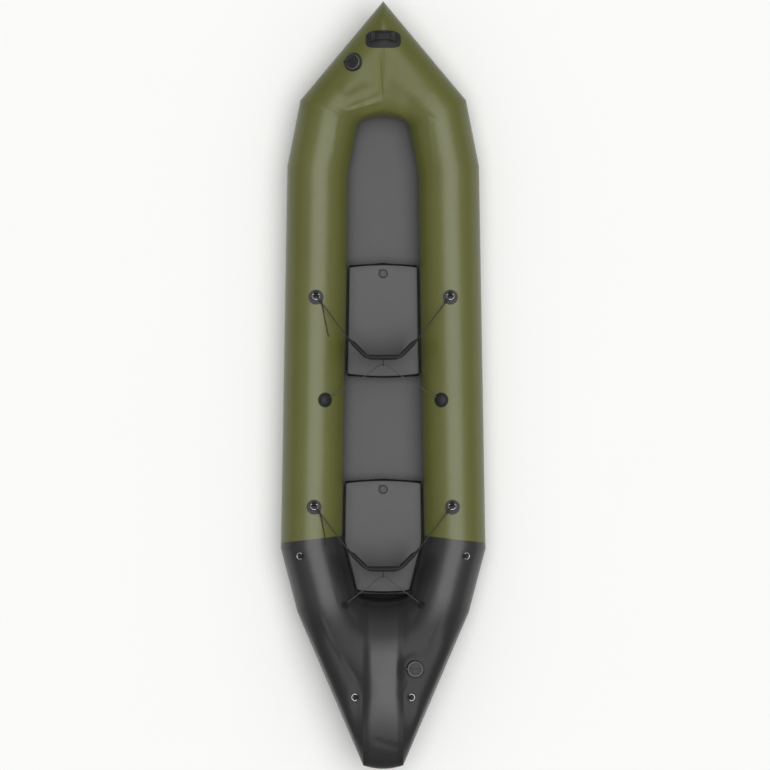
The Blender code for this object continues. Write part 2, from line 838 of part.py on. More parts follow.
def webbing_arch(name, frame, radius, depth):
    """Helper: a strip of webbing bent over a bar along X, its legs reaching so far below the bar."""
    outside = radius + WEBBING
    outline = [(outside, -depth), *half_turn(outside), (-outside, -depth)]
    outline += [(-radius, -depth), *half_turn(radius)[::-1], (radius, -depth)]
    work = bmesh.new()
    corners = [work.verts.new((-WEBBING_WIDTH / 2, y, z)) for y, z in outline]
    face = work.faces.new(corners)
    grown = bmesh.ops.extrude_face_region(work, geom=[face])["geom"]
    for item in grown:
        if isinstance(item, bmesh.types.BMVert):
            item.co.x = WEBBING_WIDTH / 2
    bmesh.ops.recalc_face_normals(work, faces=work.faces)
    mesh = bpy.data.meshes.new(name)
    work.to_mesh(mesh)
    work.free()
    return placed(name, mesh, "black_rubber", frame, helper=True)


def bar_frame(frame, setback, tilt):
    """Frame of a ring's straight bar: over the patch, set back from its middle, with the ring tilted up."""
    height = DRAPE_GAP + PATCH + LOOP_ROOM + WIRE / 2
    return frame @ Matrix.Translation((0, setback, height)) @ Matrix.Rotation(-tilt, 4, "X")


def ring_points(width, length):
    """Centre line of a D-ring from its bar, which lies on X through the origin, towards -Y."""
    half = width / 2
    points = [Vector((-half + RING_CORNER, 0, 0)), Vector((half - RING_CORNER, 0, 0))]
    for i in (1, 2):
        turn = math.pi / 2 * i / 2
        x = half - RING_CORNER + RING_CORNER * math.sin(turn)
        points.append(Vector((x, -RING_CORNER * (1 - math.cos(turn)), 0)))
    steps = 6
    for i in range(steps + 1):
        turn = math.pi * i / steps
        points.append(Vector((half * math.cos(turn), -(length - half) - half * math.sin(turn), 0)))
    for i in (2, 1):
        turn = math.pi / 2 * i / 2
        x = half - RING_CORNER + RING_CORNER * math.sin(turn)
        points.append(Vector((-x, -RING_CORNER * (1 - math.cos(turn)), 0)))
    return points


def lashing_point(label, tree, place, toward, radius, width, length, tilt, finish):
    """A round patch with a webbing loop, and the D-ring that hangs in the loop."""
    frame = surface_frame(tree, place.x, place.y, radius, toward)
    patch = draped(label + "_patch", frame, tree, (radius, radius), patch_top(PATCH), finish)
    depth = WIRE / 2 + LOOP_ROOM + PATCH / 2
    arch = webbing_arch(label + "_loop", bar_frame(frame, length / 2, 0.0), WIRE / 2 + LOOP_ROOM, depth)
    boolean(patch, arch, "UNION")
    bar = bar_frame(frame, length / 2, tilt)
    tube(label + "_ring", ring_points(width, length), WIRE, "steel", bar, cyclic=True, sides=1)


SIDES = (("port", -1), ("starboard", 1))
CORD_RING_TILT = math.radians(22)


def make_lashing_points(tree):
    for row, shares in zip(("front", "rear"), GREY_PATCH_SHARES):
        for word, side in SIDES:
            lashing_point(
                "cord_" + row + "_" + word,
                tree,
                tube_place(shares, side),
                (0, -1),
                PATCH_RADIUS,
                RING_WIDTH,
                RING_LENGTH,
                CORD_RING_TILT,
                "grey_patch",
            )
    for row, shares in zip(("quarter", "tail"), STERN_PATCH_SHARES):
        for word, side in SIDES:
            lashing_point(
                row + "_tie_" + word,
                tree,
                tube_place(shares, side),
                (side, 0),
                STERN_PATCH_RADIUS,
                STERN_RING_WIDTH,
                STERN_RING_LENGTH,
                0.0,
                "black_rubber",
            )


def make_domes(tree):
    for word, side in SIDES:
        place = tube_place(DOME_SHARES, side)
        frame = surface_frame(tree, place.x, place.y, PATCH_RADIUS, (0, -1))
        sizes = (PATCH_RADIUS, PATCH_RADIUS)
        draped("tie_dome_" + word, frame, tree, sizes, dome_top, "black_rubber", circles=3)


def make_tie_tabs(tree):
    """Small webbing tabs in the rear corners of the cockpit, for the rear backrest's cord."""
    for word, side in SIDES:
        place = tube_place(TIE_TAB_SHARES, side)
        frame = surface_frame(tree, place.x, place.y, TIE_TAB / 2, (side, 1))
        sizes = (TIE_TAB, TIE_TAB)
        tab = draped("tie_tab_" + word, frame, tree, sizes, patch_top(PATCH), "black_rubber", around=12)
        top = frame @ Matrix.Translation((0, 0, DRAPE_GAP + PATCH))
        boolean(tab, webbing_arch("tie_arch_" + word, top, TIE_TAB_HOLE, PATCH / 2), "UNION")


# Bow handle

GRIP_STATION_SHARES = (-1.0, -0.86, -0.72, -0.55, -0.3, 0.0, 0.3, 0.55, 0.72, 0.86, 1.0)
GRIP_RISE_SHARES = (0.0, 0.0, 0.45, 0.9, 1.0, 1.0, 1.0, 0.9, 0.45, 0.0, 0.0)
GRIP_WAIST_SHARE = 0.25
GRIP_AROUND = 12
GRIP_POWER = 0.6
PAD_SQUARE = 5


def make_handle(tree):
    place = plan_point(HANDLE_SHARES)
    frame = surface_frame(tree, place.x, place.y, HANDLE_PAD_LENGTH / 2, (0, -1))
    sizes = (HANDLE_PAD_WIDTH / 2, HANDLE_PAD_LENGTH / 2)
    top = patch_top(HANDLE_PAD)
    draped("handle_pad", frame, tree, sizes, top, "black_rubber", HANDLE_GAP, PAD_SQUARE, 0.0, 5, 28)
    pad_top = HANDLE_GAP + HANDLE_PAD + CONTACT
    forward = (HANDLE_PAD_LENGTH - GRIP_WIDTH) / 4
    rings = []
    for share, rise in zip(GRIP_STATION_SHARES, GRIP_RISE_SHARES):
        x = GRIP_LENGTH / 2 * share
        narrow = GRIP_WIDTH / 2 * (1 - GRIP_WAIST_SHARE * rise)
        ring = []
        for k in range(GRIP_AROUND):
            turn = math.tau * k / GRIP_AROUND
            y = forward + narrow * power(math.cos(turn), GRIP_POWER)
            low = pad_top + height_in(frame, tree, x, y) * (1 - rise) + GRIP_RISE * rise
            ring.append(frame @ Vector((x, y, low + GRIP / 2 * (1 + power(math.sin(turn), GRIP_POWER)))))
        rings.append(ring)
    closed_loft("handle_grip", rings, "black_rubber", frame.translation)


# Main valves

NECK_BOTTOM = DRAPE_GAP + VALVE_PAD + CONTACT + VALVE_RIM
NECK_TOP = NECK_BOTTOM + VALVE_NECK
PAD_EDGE_SHARE = 1 / 3
CAP_BAR_SHARES = (1.5, 0.25)


def valve_pad_top(share, under):
    """Flat where the rim sits, then sloping to a thin edge."""
    flat = DRAPE_GAP + VALVE_PAD
    radius = VALVE_BARREL_RADIUS + (VALVE_PAD_RADIUS - VALVE_BARREL_RADIUS) * share
    slope = max(0.0, (radius - VALVE_RIM_RADIUS) / (VALVE_PAD_RADIUS - VALVE_RIM_RADIUS))
    return flat + (under + VALVE_PAD * PAD_EDGE_SHARE - flat) * slope


def spring_points():
    """Coil of the return spring, between the valve floor and the button."""
    low = -VALVE_DEPTH + VALVE_FLOOR + CONTACT + SPRING_WIRE / 2
    high = NECK_TOP - CAP_WALL * 2 - CONTACT - SPRING_WIRE / 2
    steps = 8 * SPRING_TURNS
    points = []
    for i in range(steps + 1):
        turn = math.tau * SPRING_TURNS * i / steps
        height = low + (high - low) * i / steps
        points.append(Vector((SPRING_RADIUS * math.cos(turn), SPRING_RADIUS * math.sin(turn), height)))
    return points


def main_valve(label, tree, place, skin):
    """A valve welded to the hull: pad, body with its seat, sprung plunger and screw cap."""
    frame = surface_frame(tree, place.x, place.y, VALVE_PAD_RADIUS / 2, (0, -1))
    bore = VALVE_BARREL_RADIUS + CAP_ROOM
    hole = cylinder(label + "_skin_hole", bore, -VALVE_DEPTH, VALVE_DEPTH, frame)
    boolean(skin, hole, "DIFFERENCE")
    sizes = (VALVE_PAD_RADIUS, VALVE_PAD_RADIUS)
    draped(label + "_pad", frame, tree, sizes, valve_pad_top, "black_rubber", bore=bore, circles=3)
    stem_hole = STEM_RADIUS + STEM_ROOM
    seat = NECK_BOTTOM - VALVE_RIM
    floor = -VALVE_DEPTH + VALVE_FLOOR
    body = [
        (VALVE_BARREL_RADIUS, NECK_TOP),
        (VALVE_BARREL_RADIUS, NECK_BOTTOM),
        (VALVE_RIM_RADIUS, NECK_BOTTOM),
        (VALVE_RIM_RADIUS, seat),
        (VALVE_BARREL_RADIUS, seat),
        (VALVE_BARREL_RADIUS, -VALVE_DEPTH),
        (stem_hole, -VALVE_DEPTH),
        (stem_hole, floor),
        (VALVE_BORE_RADIUS, floor),
        (VALVE_BORE_RADIUS, NECK_TOP),
    ]
    turned(label + "_body", body, "black_plastic", frame, closed=True)
    button_top = NECK_TOP - CAP_WALL
    button_low = button_top - CAP_WALL
    seal_top = -VALVE_DEPTH - CONTACT
    plunger = [
        (0, button_top),
        (BUTTON_RADIUS, button_top),
        (BUTTON_RADIUS, button_low),
        (STEM_RADIUS, button_low),
        (STEM_RADIUS, seal_top),
        (SEAL_RADIUS, seal_top),
        (SEAL_RADIUS, seal_top - SEAL),
        (0, seal_top - SEAL),
    ]
    turned(label + "_plunger", plunger, "grey_plastic", frame)
    tube(label + "_spring", spring_points(), SPRING_WIRE, "steel", frame, sides=1)
    screw_cap(label + "_cap", frame)


def screw_cap(name, frame):
    """A cap over the neck, with a bar across its top to turn it by."""
    inside = VALVE_BARREL_RADIUS + CAP_ROOM
    roof = NECK_TOP + CAP_ROOM
    profile = [
        (0, roof + CAP_WALL),
        (CAP_RADIUS - CAP_WALL / 2, roof + CAP_WALL),
        (CAP_RADIUS, roof + CAP_WALL / 2),
        (CAP_RADIUS, NECK_BOTTOM + CONTACT),
        (inside, NECK_BOTTOM + CONTACT),
        (inside, roof),
        (0, roof),
    ]
    cap = turned(name, profile, "black_plastic", frame)
    work = bmesh.new()
    bmesh.ops.create_cube(work, size=1.0)
    size = Vector((CAP_RADIUS * CAP_BAR_SHARES[0], CAP_RADIUS * CAP_BAR_SHARES[1], CAP_WALL * 2))
    for corner in work.verts:
        corner.co = Vector(a * b for a, b in zip(corner.co, size)) + Vector((0, 0, roof + CAP_WALL))
    mesh = bpy.data.meshes.new(name + "_bar")
    work.to_mesh(mesh)
    work.free()
    boolean(cap, placed(name + "_bar", mesh, "black_plastic", frame, helper=True), "UNION")


def make_main_valves(tree, skins):
    main_valve("bow_valve", tree, tube_place(BOW_VALVE_SHARES, -1), skins["bow"][0])
    main_valve("stern_valve", tree, tube_place(STERN_VALVE_SHARES, 1), skins["tail"][1])


# Seat valves


def seat_valve(label, seat, front):
    """A low valve in the top of a cushion, closed by a push-in plug."""
    tree = surface_of(seat)
    frame = surface_frame(tree, 0, front - SEAT_VALVE_SETBACK, SEAT_VALVE_RADIUS, (0, -1))
    room = SEAT_VALVE_BARREL + CAP_ROOM
    pocket = cylinder(label + "_pocket", room, -SEAT_VALVE_DEPTH - CAP_ROOM, CUT_OVERRUN, frame)
    boolean(seat, pocket, "DIFFERENCE")
    low = DRAPE_GAP
    top = low + SEAT_VALVE_RIM
    body = [
        (SEAT_VALVE_RADIUS - SEAT_VALVE_RIM / 2, top),
        (SEAT_VALVE_RADIUS, low + SEAT_VALVE_RIM / 2),
        (SEAT_VALVE_RADIUS, low),
        (SEAT_VALVE_BARREL, low),
        (SEAT_VALVE_BARREL, -SEAT_VALVE_DEPTH),
        (SEAT_VALVE_BORE, -SEAT_VALVE_DEPTH),
        (SEAT_VALVE_BORE, top),
    ]
    turned(label + "_body", body, "black_rubber", frame, closed=True)
    shank = SEAT_VALVE_BORE - CONTACT
    plug = [
        (0, top + CONTACT + PLUG_HEAD),
        (PLUG_RADIUS - PLUG_HEAD / 3, top + CONTACT + PLUG_HEAD),
        (PLUG_RADIUS, top + CONTACT + PLUG_HEAD * 2 / 3),
        (PLUG_RADIUS, top + CONTACT),
        (shank, top + CONTACT),
        (shank, top - PLUG_LENGTH),
        (0, top - PLUG_LENGTH),
    ]
    turned(label + "_plug", plug, "black_plastic", frame)


# Cords

# Places that each cord passes through, in metres, chosen by hand; x is outboard
FRONT_SIDE_ROUTE = (
    (0.1638, 0.2180, 0.3085),
    (0.2100, 0.2799, 0.3068),
    (0.2560, 0.3415, 0.3078),
    (0.2925, 0.3905, 0.3098),
    (0.3033, 0.4049, 0.3106),
    (0.3057, 0.4081, 0.3090),
    (0.3067, 0.4094, 0.3050),
    (0.3057, 0.4081, 0.3010),
    (0.3033, 0.4049, 0.2994),
    (0.2961, 0.3953, 0.2998),
    (0.2877, 0.3841, 0.3000),
)
FRONT_TAIL_ROUTE = (
    (0.2815, 0.3560, 0.2925),
    (0.2750, 0.3180, 0.2885),
    (0.2600, 0.2450, 0.2824),
    (0.2565, 0.2280, 0.2807),
)
REAR_SIDE_ROUTE = (
    (0.1638, -0.7740, 0.3095),
    (0.2130, -0.7094, 0.3068),
    (0.2620, -0.6450, 0.3070),
    (0.3008, -0.5940, 0.3089),
    (0.3117, -0.5797, 0.3097),
    (0.3141, -0.5765, 0.3081),
    (0.3151, -0.5752, 0.3041),
    (0.3141, -0.5765, 0.3001),
    (0.3117, -0.5797, 0.2985),
    (0.3044, -0.5892, 0.2989),
    (0.2960, -0.6004, 0.2991),
)
REAR_TAIL_ROUTE = (
    (0.2895, -0.6270, 0.2905),
    (0.2820, -0.6660, 0.2858),
    (0.2670, -0.7400, 0.2796),
    (0.2645, -0.7530, 0.2784),
)
FRONT_BACK_ROUTE = (
    (0.0000, 0.0965, 0.3154),
    (0.0800, 0.0458, 0.3030),
    (0.1700, -0.0085, 0.2925),
    (0.2510, -0.0575, 0.2838),
)
REAR_BACK_ROUTE = (
    (0.0000, -0.8955, 0.3162),
    (0.0600, -0.9395, 0.2995),
    (0.1150, -0.9795, 0.2795),
    (0.1500, -1.0055, 0.2685),
    (0.1635, -1.0178, 0.2713),
    (0.1756, -1.0299, 0.2817),
    (0.1847, -1.0389, 0.2896),
)
CORD_STEP_SHARE = 3.0


def smooth_route(places, step):
    """Points along a smooth curve through the places, no further apart than the step."""
    places = [Vector(place) for place in places]
    ends = [places[0] * 2 - places[1]] + places + [places[-1] * 2 - places[-2]]
    points = []
    for before, start, end, after in zip(ends, ends[1:], ends[2:], ends[3:]):
        count = max(1, math.ceil((end - start).length / step))
        for i in range(count):
            t = i / count
            bend = 2 * before - 5 * start + 4 * end - after
            twist = 3 * start - before - 3 * end + after
            points.append(start + (t * (end - before) + t * t * bend + t**3 * twist) / 2)
    return points + [places[-1]]


def mirrored_route(places):
    return [(-x, y, z) for x, y, z in places]


def make_cords():
    routes = {
        "front_side_cord_port": mirrored_route(FRONT_SIDE_ROUTE + FRONT_TAIL_ROUTE),
        "front_side_cord_starboard": FRONT_SIDE_ROUTE,
        "rear_side_cord_port": mirrored_route(REAR_SIDE_ROUTE + REAR_TAIL_ROUTE),
        "rear_side_cord_starboard": REAR_SIDE_ROUTE,
    }
    for name, places in routes.items():
        tube(name, smooth_route(places, SIDE_CORD * CORD_STEP_SHARE), SIDE_CORD, "cord")
    for name, half in (("front_back_cord", FRONT_BACK_ROUTE), ("rear_back_cord", REAR_BACK_ROUTE)):
        places = mirrored_route(half)[:0:-1] + list(half)
        tube(name, smooth_route(places, BACK_CORD * CORD_STEP_SHARE), BACK_CORD, "cord")


def main():
    skins = make_hull()
    tree = BVHTree.FromPolygons(hull_points, hull_faces)
    make_floor_sheet()
    make_floor_mat()
    seats = make_seats()
    seat_valve("front_seat_valve", seats[0], FRONT_SEAT_Y[1])
    seat_valve("rear_seat_valve", seats[1], REAR_SEAT_Y[1])
    backrest("front_backrest", FRONT_BACKREST_Y)
    backrest("rear_backrest", REAR_BACKREST_Y)
    make_lashing_points(tree)
    make_domes(tree)
    make_tie_tabs(tree)
    make_handle(tree)
    make_main_valves(tree, skins)
    make_cords()


main()
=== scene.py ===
"""Two-seat packraft, dressed on its frame: fabric tubes, cushions, backrests, valves, rings and cords.

Metres, +Y towards the bow, +X to starboard, +Z up.
"""

import json
import math

import bmesh
import bpy
import numpy as np
from bpy.props import FloatProperty, FloatVectorProperty, IntProperty, PointerProperty
from mathutils import Matrix, Vector
from mathutils.bvhtree import BVHTree
from numpy.linalg import norm


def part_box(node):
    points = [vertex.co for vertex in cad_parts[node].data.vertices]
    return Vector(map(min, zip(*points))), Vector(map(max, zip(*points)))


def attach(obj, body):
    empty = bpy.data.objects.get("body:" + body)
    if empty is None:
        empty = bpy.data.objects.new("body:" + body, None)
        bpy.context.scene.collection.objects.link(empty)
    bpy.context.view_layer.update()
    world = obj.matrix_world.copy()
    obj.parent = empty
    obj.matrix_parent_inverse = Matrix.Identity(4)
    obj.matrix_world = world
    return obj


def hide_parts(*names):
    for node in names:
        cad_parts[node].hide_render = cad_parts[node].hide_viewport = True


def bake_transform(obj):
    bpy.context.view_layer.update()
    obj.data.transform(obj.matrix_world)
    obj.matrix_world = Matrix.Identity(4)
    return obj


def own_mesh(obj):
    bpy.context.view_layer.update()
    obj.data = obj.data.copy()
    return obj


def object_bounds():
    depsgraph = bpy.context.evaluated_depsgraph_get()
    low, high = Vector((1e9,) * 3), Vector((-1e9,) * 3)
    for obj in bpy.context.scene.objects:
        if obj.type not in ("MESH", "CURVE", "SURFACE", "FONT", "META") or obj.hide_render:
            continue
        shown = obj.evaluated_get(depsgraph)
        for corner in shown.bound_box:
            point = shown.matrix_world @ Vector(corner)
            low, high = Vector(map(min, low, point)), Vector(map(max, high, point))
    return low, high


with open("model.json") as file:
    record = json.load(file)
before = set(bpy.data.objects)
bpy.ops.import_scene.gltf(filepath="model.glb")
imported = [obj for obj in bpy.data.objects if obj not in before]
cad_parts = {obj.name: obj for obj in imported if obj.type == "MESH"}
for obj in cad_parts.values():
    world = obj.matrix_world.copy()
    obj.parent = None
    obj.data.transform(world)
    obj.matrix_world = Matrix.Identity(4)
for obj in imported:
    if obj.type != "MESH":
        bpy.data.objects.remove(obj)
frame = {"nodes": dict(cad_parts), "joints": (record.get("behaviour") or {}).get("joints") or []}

bl_info = {
    "name": "Packraft",
    "version": (1, 0, 0),
    "blender": (4, 5, 0),
    "location": "View3D > Sidebar > Packraft",
    "description": "Dresses a two-seat packraft in fabric, cushions, fittings and cords",
    "category": "Object",
}

CAD_LOW, CAD_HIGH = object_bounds()
SIDES = (("port", -1), ("starboard", 1))
MATERIALS = {}
SURFACES = {}


def extent(node, axis):
    """Size of a frame node along one axis."""
    low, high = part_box(node)
    return high[axis] - low[axis]


# Sizes and colours


def size(name, text, default):
    return FloatProperty(
        name=name, description=text, default=default, min=0.0, subtype="DISTANCE", unit="LENGTH"
    )


def number(name, text, default):
    return FloatProperty(name=name, description=text, default=default)


def count(name, text, default):
    return IntProperty(name=name, description=text, default=default, min=1)


def colour(name, text, default):
    return FloatVectorProperty(
        name=name, description=text, default=default, size=3, min=0.0, max=1.0, subtype="COLOR"
    )


class HullSizes(bpy.types.PropertyGroup):
    """Sizes of the inflated hull"""

    length: size("Length", "Length of the hull from bow tip to stern", 2 * CAD_HIGH.y)
    beam: size("Beam", "Width of the hull over its side tubes", CAD_HIGH.x - CAD_LOW.x)
    tube: size("Tube", "Diameter of the inflated tubes", extent("side_port", 2))
    ground: size("Ground gap", "Height of the tubes' underside amidships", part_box("side_port")[0].z)
    skin: size("Skin", "Thickness of the coated fabric", 0.0012)
    bow_deck: size("Bow deck", "Bow tip to the front of the cockpit", 0.544)
    stern_deck: size("Stern deck", "Stern to the back of the cockpit", 0.792)
    bow_rise: size("Bow rise", "Upward sweep of the bow", 0.090)
    stern_rise: size("Stern rise", "Upward sweep of the stern", 0.100)
    strip: size("Stern strip", "Width of the centre panel of the stern", 0.188)
    tail_span: size("Tail span", "Reach of the quarter's inner corner past the stern strip", 0.0207)
    stern_round: size("Stern rounding", "How far the end of the stern bows out", 0.016)
    crown: size("Crown", "Height of the crown across the stern deck", 0.024)
    pillow: size("Pillow", "Height of the raised pillow on the stern strip", 0.006)
    lap: size("Lap", "How far the stern's black fabric laps over the side tubes", 0.028)
    tape: size("Seam tape", "Width of the welded tape on each side of a seam", 0.011)
    tape_height: size("Tape height", "Thickness of the welded tape", 0.0002)
    mitre: size("Mitre rounding", "How far the rounding of a mitred seam reaches", 0.024)
    pucker: size("Pucker", "Height of the small folds at the seams", 0.0006)
    around: count("Around", "Points round a tube", 112)
    step: size("Step", "Longest distance between rows of the skin", 0.009)


class CushionSizes(bpy.types.PropertyGroup):
    """Sizes of the floor mat, seats and backrests"""

    base: size("Mat base", "Height of the floor mat's underside amidships", 0.0038)
    mat: size("Mat", "Thickness of the floor mat", extent("floor_mat", 2) - 0.004)
    mat_tuck: size("Mat tuck", "How far the mat reaches under the tubes", 0.018)
    seat_base: size("Seat base", "Height of the seats' underside", 0.0566)
    seat: size("Seat", "Height of the seat cushions", 0.100)
    seat_gap: size("Seat gap", "Clearance between a seat and the tubes", 0.004)
    seat_bow: size("Seat bow", "How far the ends of a seat bow out in plan", 0.012)
    seat_bulge: size("Seat bulge", "How far the end walls of a seat bulge", 0.014)
    slack: size("Slack", "How much smaller a cushion starts before it is inflated", 0.002)
    swell: size("Swell", "Most that a point of a cushion moves while it is inflated", 0.005)
    voxel: size("Voxel", "Size of a cushion's remeshed cells", 0.006)
    pressure: number("Pressure", "Air pressure in the cushion simulation", 4.0)
    # Painted shade: the black band at a seat's ends, darkened further, stands for the dark gap there
    end_band: size("End band", "Width of the black wall seen at a seat's ends", 0.0125)
    backrest: size("Backrest", "Thickness of the backrests", 0.017)
    backrest_height: size("Backrest height", "Height of the backrests over their hinge", 0.260)
    backrest_panel: size("Backrest panel", "Width of the backrests' middle panel", 0.150)
    backrest_wing: size("Backrest wing", "Length of the backrests' side wings", 0.108)
    backrest_bend: size("Backrest bend", "Length of the bend between panel and wing", 0.030)
    backrest_voxel: size("Backrest voxel", "Size of a backrest's remeshed cells", 0.004)
    tab: size("Tab", "Thickness of the cord tab on a backrest", 0.003)
    tab_width: size("Tab width", "Height of the cord tab on a backrest", 0.018)
    tab_length: size("Tab length", "Reach of the cord tab behind a backrest", 0.034)
    tab_height: size("Tab height", "Height of the cord tab over the hinge", 0.150)
    tab_hole: size("Tab hole", "Radius of the hole in the cord tab", 0.0045)


class FittingSizes(bpy.types.PropertyGroup):
    """Sizes of the patches, rings, handle, valves and cords"""

    patch: size("Patch", "Thickness of a welded patch", 0.0018)
    patch_radius: size("Patch radius", "Radius of the grey patches and the domes", 0.035)
    stern_patch_radius: size("Stern patch radius", "Radius of the patches on the stern", 0.027)
    wire: size("Ring wire", "Diameter of a D-ring's wire", 0.0044)
    ring_corner: size("Ring corner", "Corner radius of a D-ring", 0.006)
    bar_height: size("Bar height", "Height of a D-ring's bar over the hull", 0.0058)
    webbing: size("Webbing", "Thickness of the webbing", 0.0016)
    webbing_width: size("Webbing width", "Width of the webbing loops", 0.020)
    stitch: size("Stitch", "Length of a stitch", 0.0032)
    thread: size("Thread", "Diameter of the sewing thread", 0.0009)
    dome: size("Dome", "Height of the moulded domes", 0.012)
    tab_radius: size("Tie tab radius", "Radius of the patches in the cockpit's rear corners", 0.020)
    tab_loop: size("Tie tab loop", "Inner radius of the webbing loop on them", 0.006)
    pad_width: size("Handle pad width", "Width of the bow handle's pad", 0.166)
    pad_length: size("Handle pad length", "Length of the bow handle's pad", 0.082)
    pad: size("Handle pad", "Thickness of the bow handle's pad", 0.0025)
    grip_length: size("Grip length", "Length of the bow handle's grip", 0.132)
    grip_width: size("Grip width", "Width of the bow handle's grip", 0.046)
    grip: size("Grip", "Thickness of the bow handle's grip", 0.007)
    grip_rise: size("Grip rise", "Height of the grip's underside over the pad", 0.028)
    barrel: size("Valve barrel", "Outer radius of a main valve's barrel", 0.025)
    valve_wall: size("Valve wall", "Wall of a main valve's barrel", 0.004)
    flange: size("Valve flange", "Reach of a main valve's flange past its barrel", 0.0105)
    flange_height: size("Valve flange height", "Thickness of a main valve's flange", 0.004)
    valve_margin: size("Valve margin", "Reach of the valve pad past the flange", 0.0095)
    valve_pad: size("Valve pad", "Thickness of the valve pad", 0.003)
    valve_depth: size("Valve depth", "Depth of a main valve's barrel", 0.024)
    spring: size("Spring", "Radius of a main valve's return spring", 0.0085)
    spring_wire: size("Spring wire", "Diameter of the spring's wire", 0.0012)
    spring_turns: count("Spring turns", "Turns of a main valve's return spring", 3)
    neck: size("Valve neck", "Height of a main valve's neck over its flange", 0.009)
    cap_side: size("Cap side", "Side wall of a valve cap", 0.0054)
    cap_wall: size("Cap wall", "Roof of a valve cap", 0.0025)
    seat_barrel: size("Seat valve barrel", "Outer radius of a seat valve's barrel", 0.013)
    seat_wall: size("Seat valve wall", "Wall of a seat valve's barrel", 0.003)
    seat_flange: size("Seat valve flange", "Reach of a seat valve's flange past its barrel", 0.009)
    seat_rim: size("Seat valve rim", "Thickness of a seat valve's flange", 0.003)
    seat_depth: size("Seat valve depth", "Depth of a seat valve's barrel", 0.020)
    plug_lip: size("Plug lip", "Reach of a plug's head past the bore", 0.004)
    plug_head: size("Plug head", "Thickness of a plug's head", 0.004)
    plug_length: size("Plug length", "Length of a plug's shank", 0.012)
    contact: size("Contact", "Gap between touching pieces", 0.0003)
    drape: size("Drape gap", "Gap between the hull and a fitting's datum", 0.0011)
    room: size("Room", "Clearance between a barrel and what goes round it", 0.0006)
    side_cord: size("Side cord", "Diameter of the backrests' side cords", 0.005)
    back_cord: size("Back cord", "Diameter of the backrests' rear cords", 0.004)


class FinishColours(bpy.types.PropertyGroup):
    """Colours of the fabric and fittings"""

    green: colour("Green fabric", "Olive coated fabric of the hull", (0.112, 0.120, 0.030))
    black: colour("Black fabric", "Black coated fabric of the stern", (0.026, 0.026, 0.027))
    grey: colour("Grey fabric", "Grey fabric of the mat and seats", (0.115, 0.115, 0.116))
    floor: colour("Floor sheet", "Dark sheet under the hull", (0.035, 0.035, 0.036))
    backrest: colour("Backrest", "Dark grey fabric of the backrests", (0.030, 0.030, 0.032))
    patch: colour("Grey patch", "Grey fabric of the round patches", (0.042, 0.042, 0.045))
    rubber: colour("Black rubber", "Black rubber of pads and handle", (0.016, 0.016, 0.017))
    plastic: colour("Black plastic", "Black plastic of valves and caps", (0.018, 0.018, 0.020))
    grey_plastic: colour("Grey plastic", "Grey plastic of the plungers", (0.150, 0.150, 0.155))
    # Painted highlight: the rims' light grey stands for the glint of light on the main valves' flanges
    rim: colour("Valve rim", "Glossy plastic of the main valves' rims", (0.105, 0.105, 0.100))
    cord: colour("Cord", "Dark olive braided cord", (0.020, 0.021, 0.012))
    thin_cord: colour("Thin cord", "Grey braided cord behind the backrests", (0.060, 0.060, 0.058))
    steel: colour("Steel", "Steel of the D-rings", (0.50, 0.50, 0.49))


class StageSettings(bpy.types.PropertyGroup):
    """Camera, light and ground"""

    view_width: size("View width", "Width that the picture shows at the tubes' top", 3.609)
    view_offset: size("View offset", "How far right of the hull's middle the picture is centred", 0.0084)
    camera_height: size("Camera height", "Height of the camera above the tubes", 120.0)
    ground: colour("Ground", "Pale ground under the hull", (0.900, 0.908, 0.888))


# Shaders

# Scales of the patterns, and depths of their relief in metres
CLOUD_SCALE = 5.0
SPECK_SCALE = 900.0
SCUFF_SCALE = 38.0
CREASE_SCALE = 16.0
CREASE_DEPTH = 0.0007
CUSHION_CLOUD_SCALE = 7.0
CUSHION_CREASE_DEPTH = 0.0008
FLECK_SCALE = 1300.0
PILE_SCALE = 420.0
PILE_DEPTH = 0.00006
WEAR_SCALE = 60.0
FUZZ_SCALE = 1500.0
STRAND_DEPTH = 0.0002
RIB_DEPTH = 0.00012
# Darkest and lightest shade of each pattern, as shares of the finish's colour
CUSHION_SHADE_SHARES = (0.94, 1.07)
MOULDED_SHADE_SHARES = (0.88, 1.14)
STRAND_SHADE_SHARES = (0.7, 1.9)
RIB_SHADE_SHARES = (0.75, 1.35)
GROUND_SHADE_SHARES = (0.995, 1.005)
# How much the specks and flecks show, and the shades of them; the share of a cushion's black side colour
# that is left where it is darkened further as painted shade; and the ground's bounce
SPECK_SHARE = 0.16
SPECK_SHADE_SHARE = 0.7
FLECK_SHARE = 0.3
FLECK_SHADE_SHARE = 0.72
SIDE_PAINTED_SHADE_SHARE = 0.4
BOUNCE_SHARE = 0.35
# How far the roughness wanders below and above its value
FABRIC_SPREAD = (-0.05, 0.06)
MOULDED_SPREAD = (-0.06, 0.09)
# Specular level of the coated fabric where it shines in full, and of the cushions
FULL_GLOSS_SHARE = 0.5
CUSHION_GLOSS_SHARE = 0.15
# Name of the mesh value that marks a cushion's black end walls, which are darkened as painted shade of the
# gap at its ends, and half the width of their edge
END_SHADE_MARK = "black_end_and_shade"
EDGE_SOFT = 0.0010


def add(tree, kind, inputs=None, **settings):
    """A shader node with its settings and inputs, each a value or another node's output."""
    made = tree.nodes.new("ShaderNode" + kind)
    for name, value in settings.items():
        setattr(made, name, value)
    for name, value in (inputs or {}).items():
        socket = made.inputs[name]
        if isinstance(value, bpy.types.NodeSocket):
            tree.links.new(value, socket)
        else:
            socket.default_value = value
    return made


def new_finish(name, roughness, metallic=0.0, **extra):
    """A material with its shader, and the object coordinates that its patterns follow."""
    made = bpy.data.materials.new(name)
    MATERIALS[name] = made
    made.use_nodes = True
    tree = made.node_tree
    shader = tree.nodes["Principled BSDF"]
    shader.inputs["Roughness"].default_value = roughness
    shader.inputs["Metallic"].default_value = metallic
    for socket, value in extra.items():
        shader.inputs[socket.replace("_", " ")].default_value = value
    place = add(tree, "TexCoord").outputs["Object"]
    return tree, shader, place


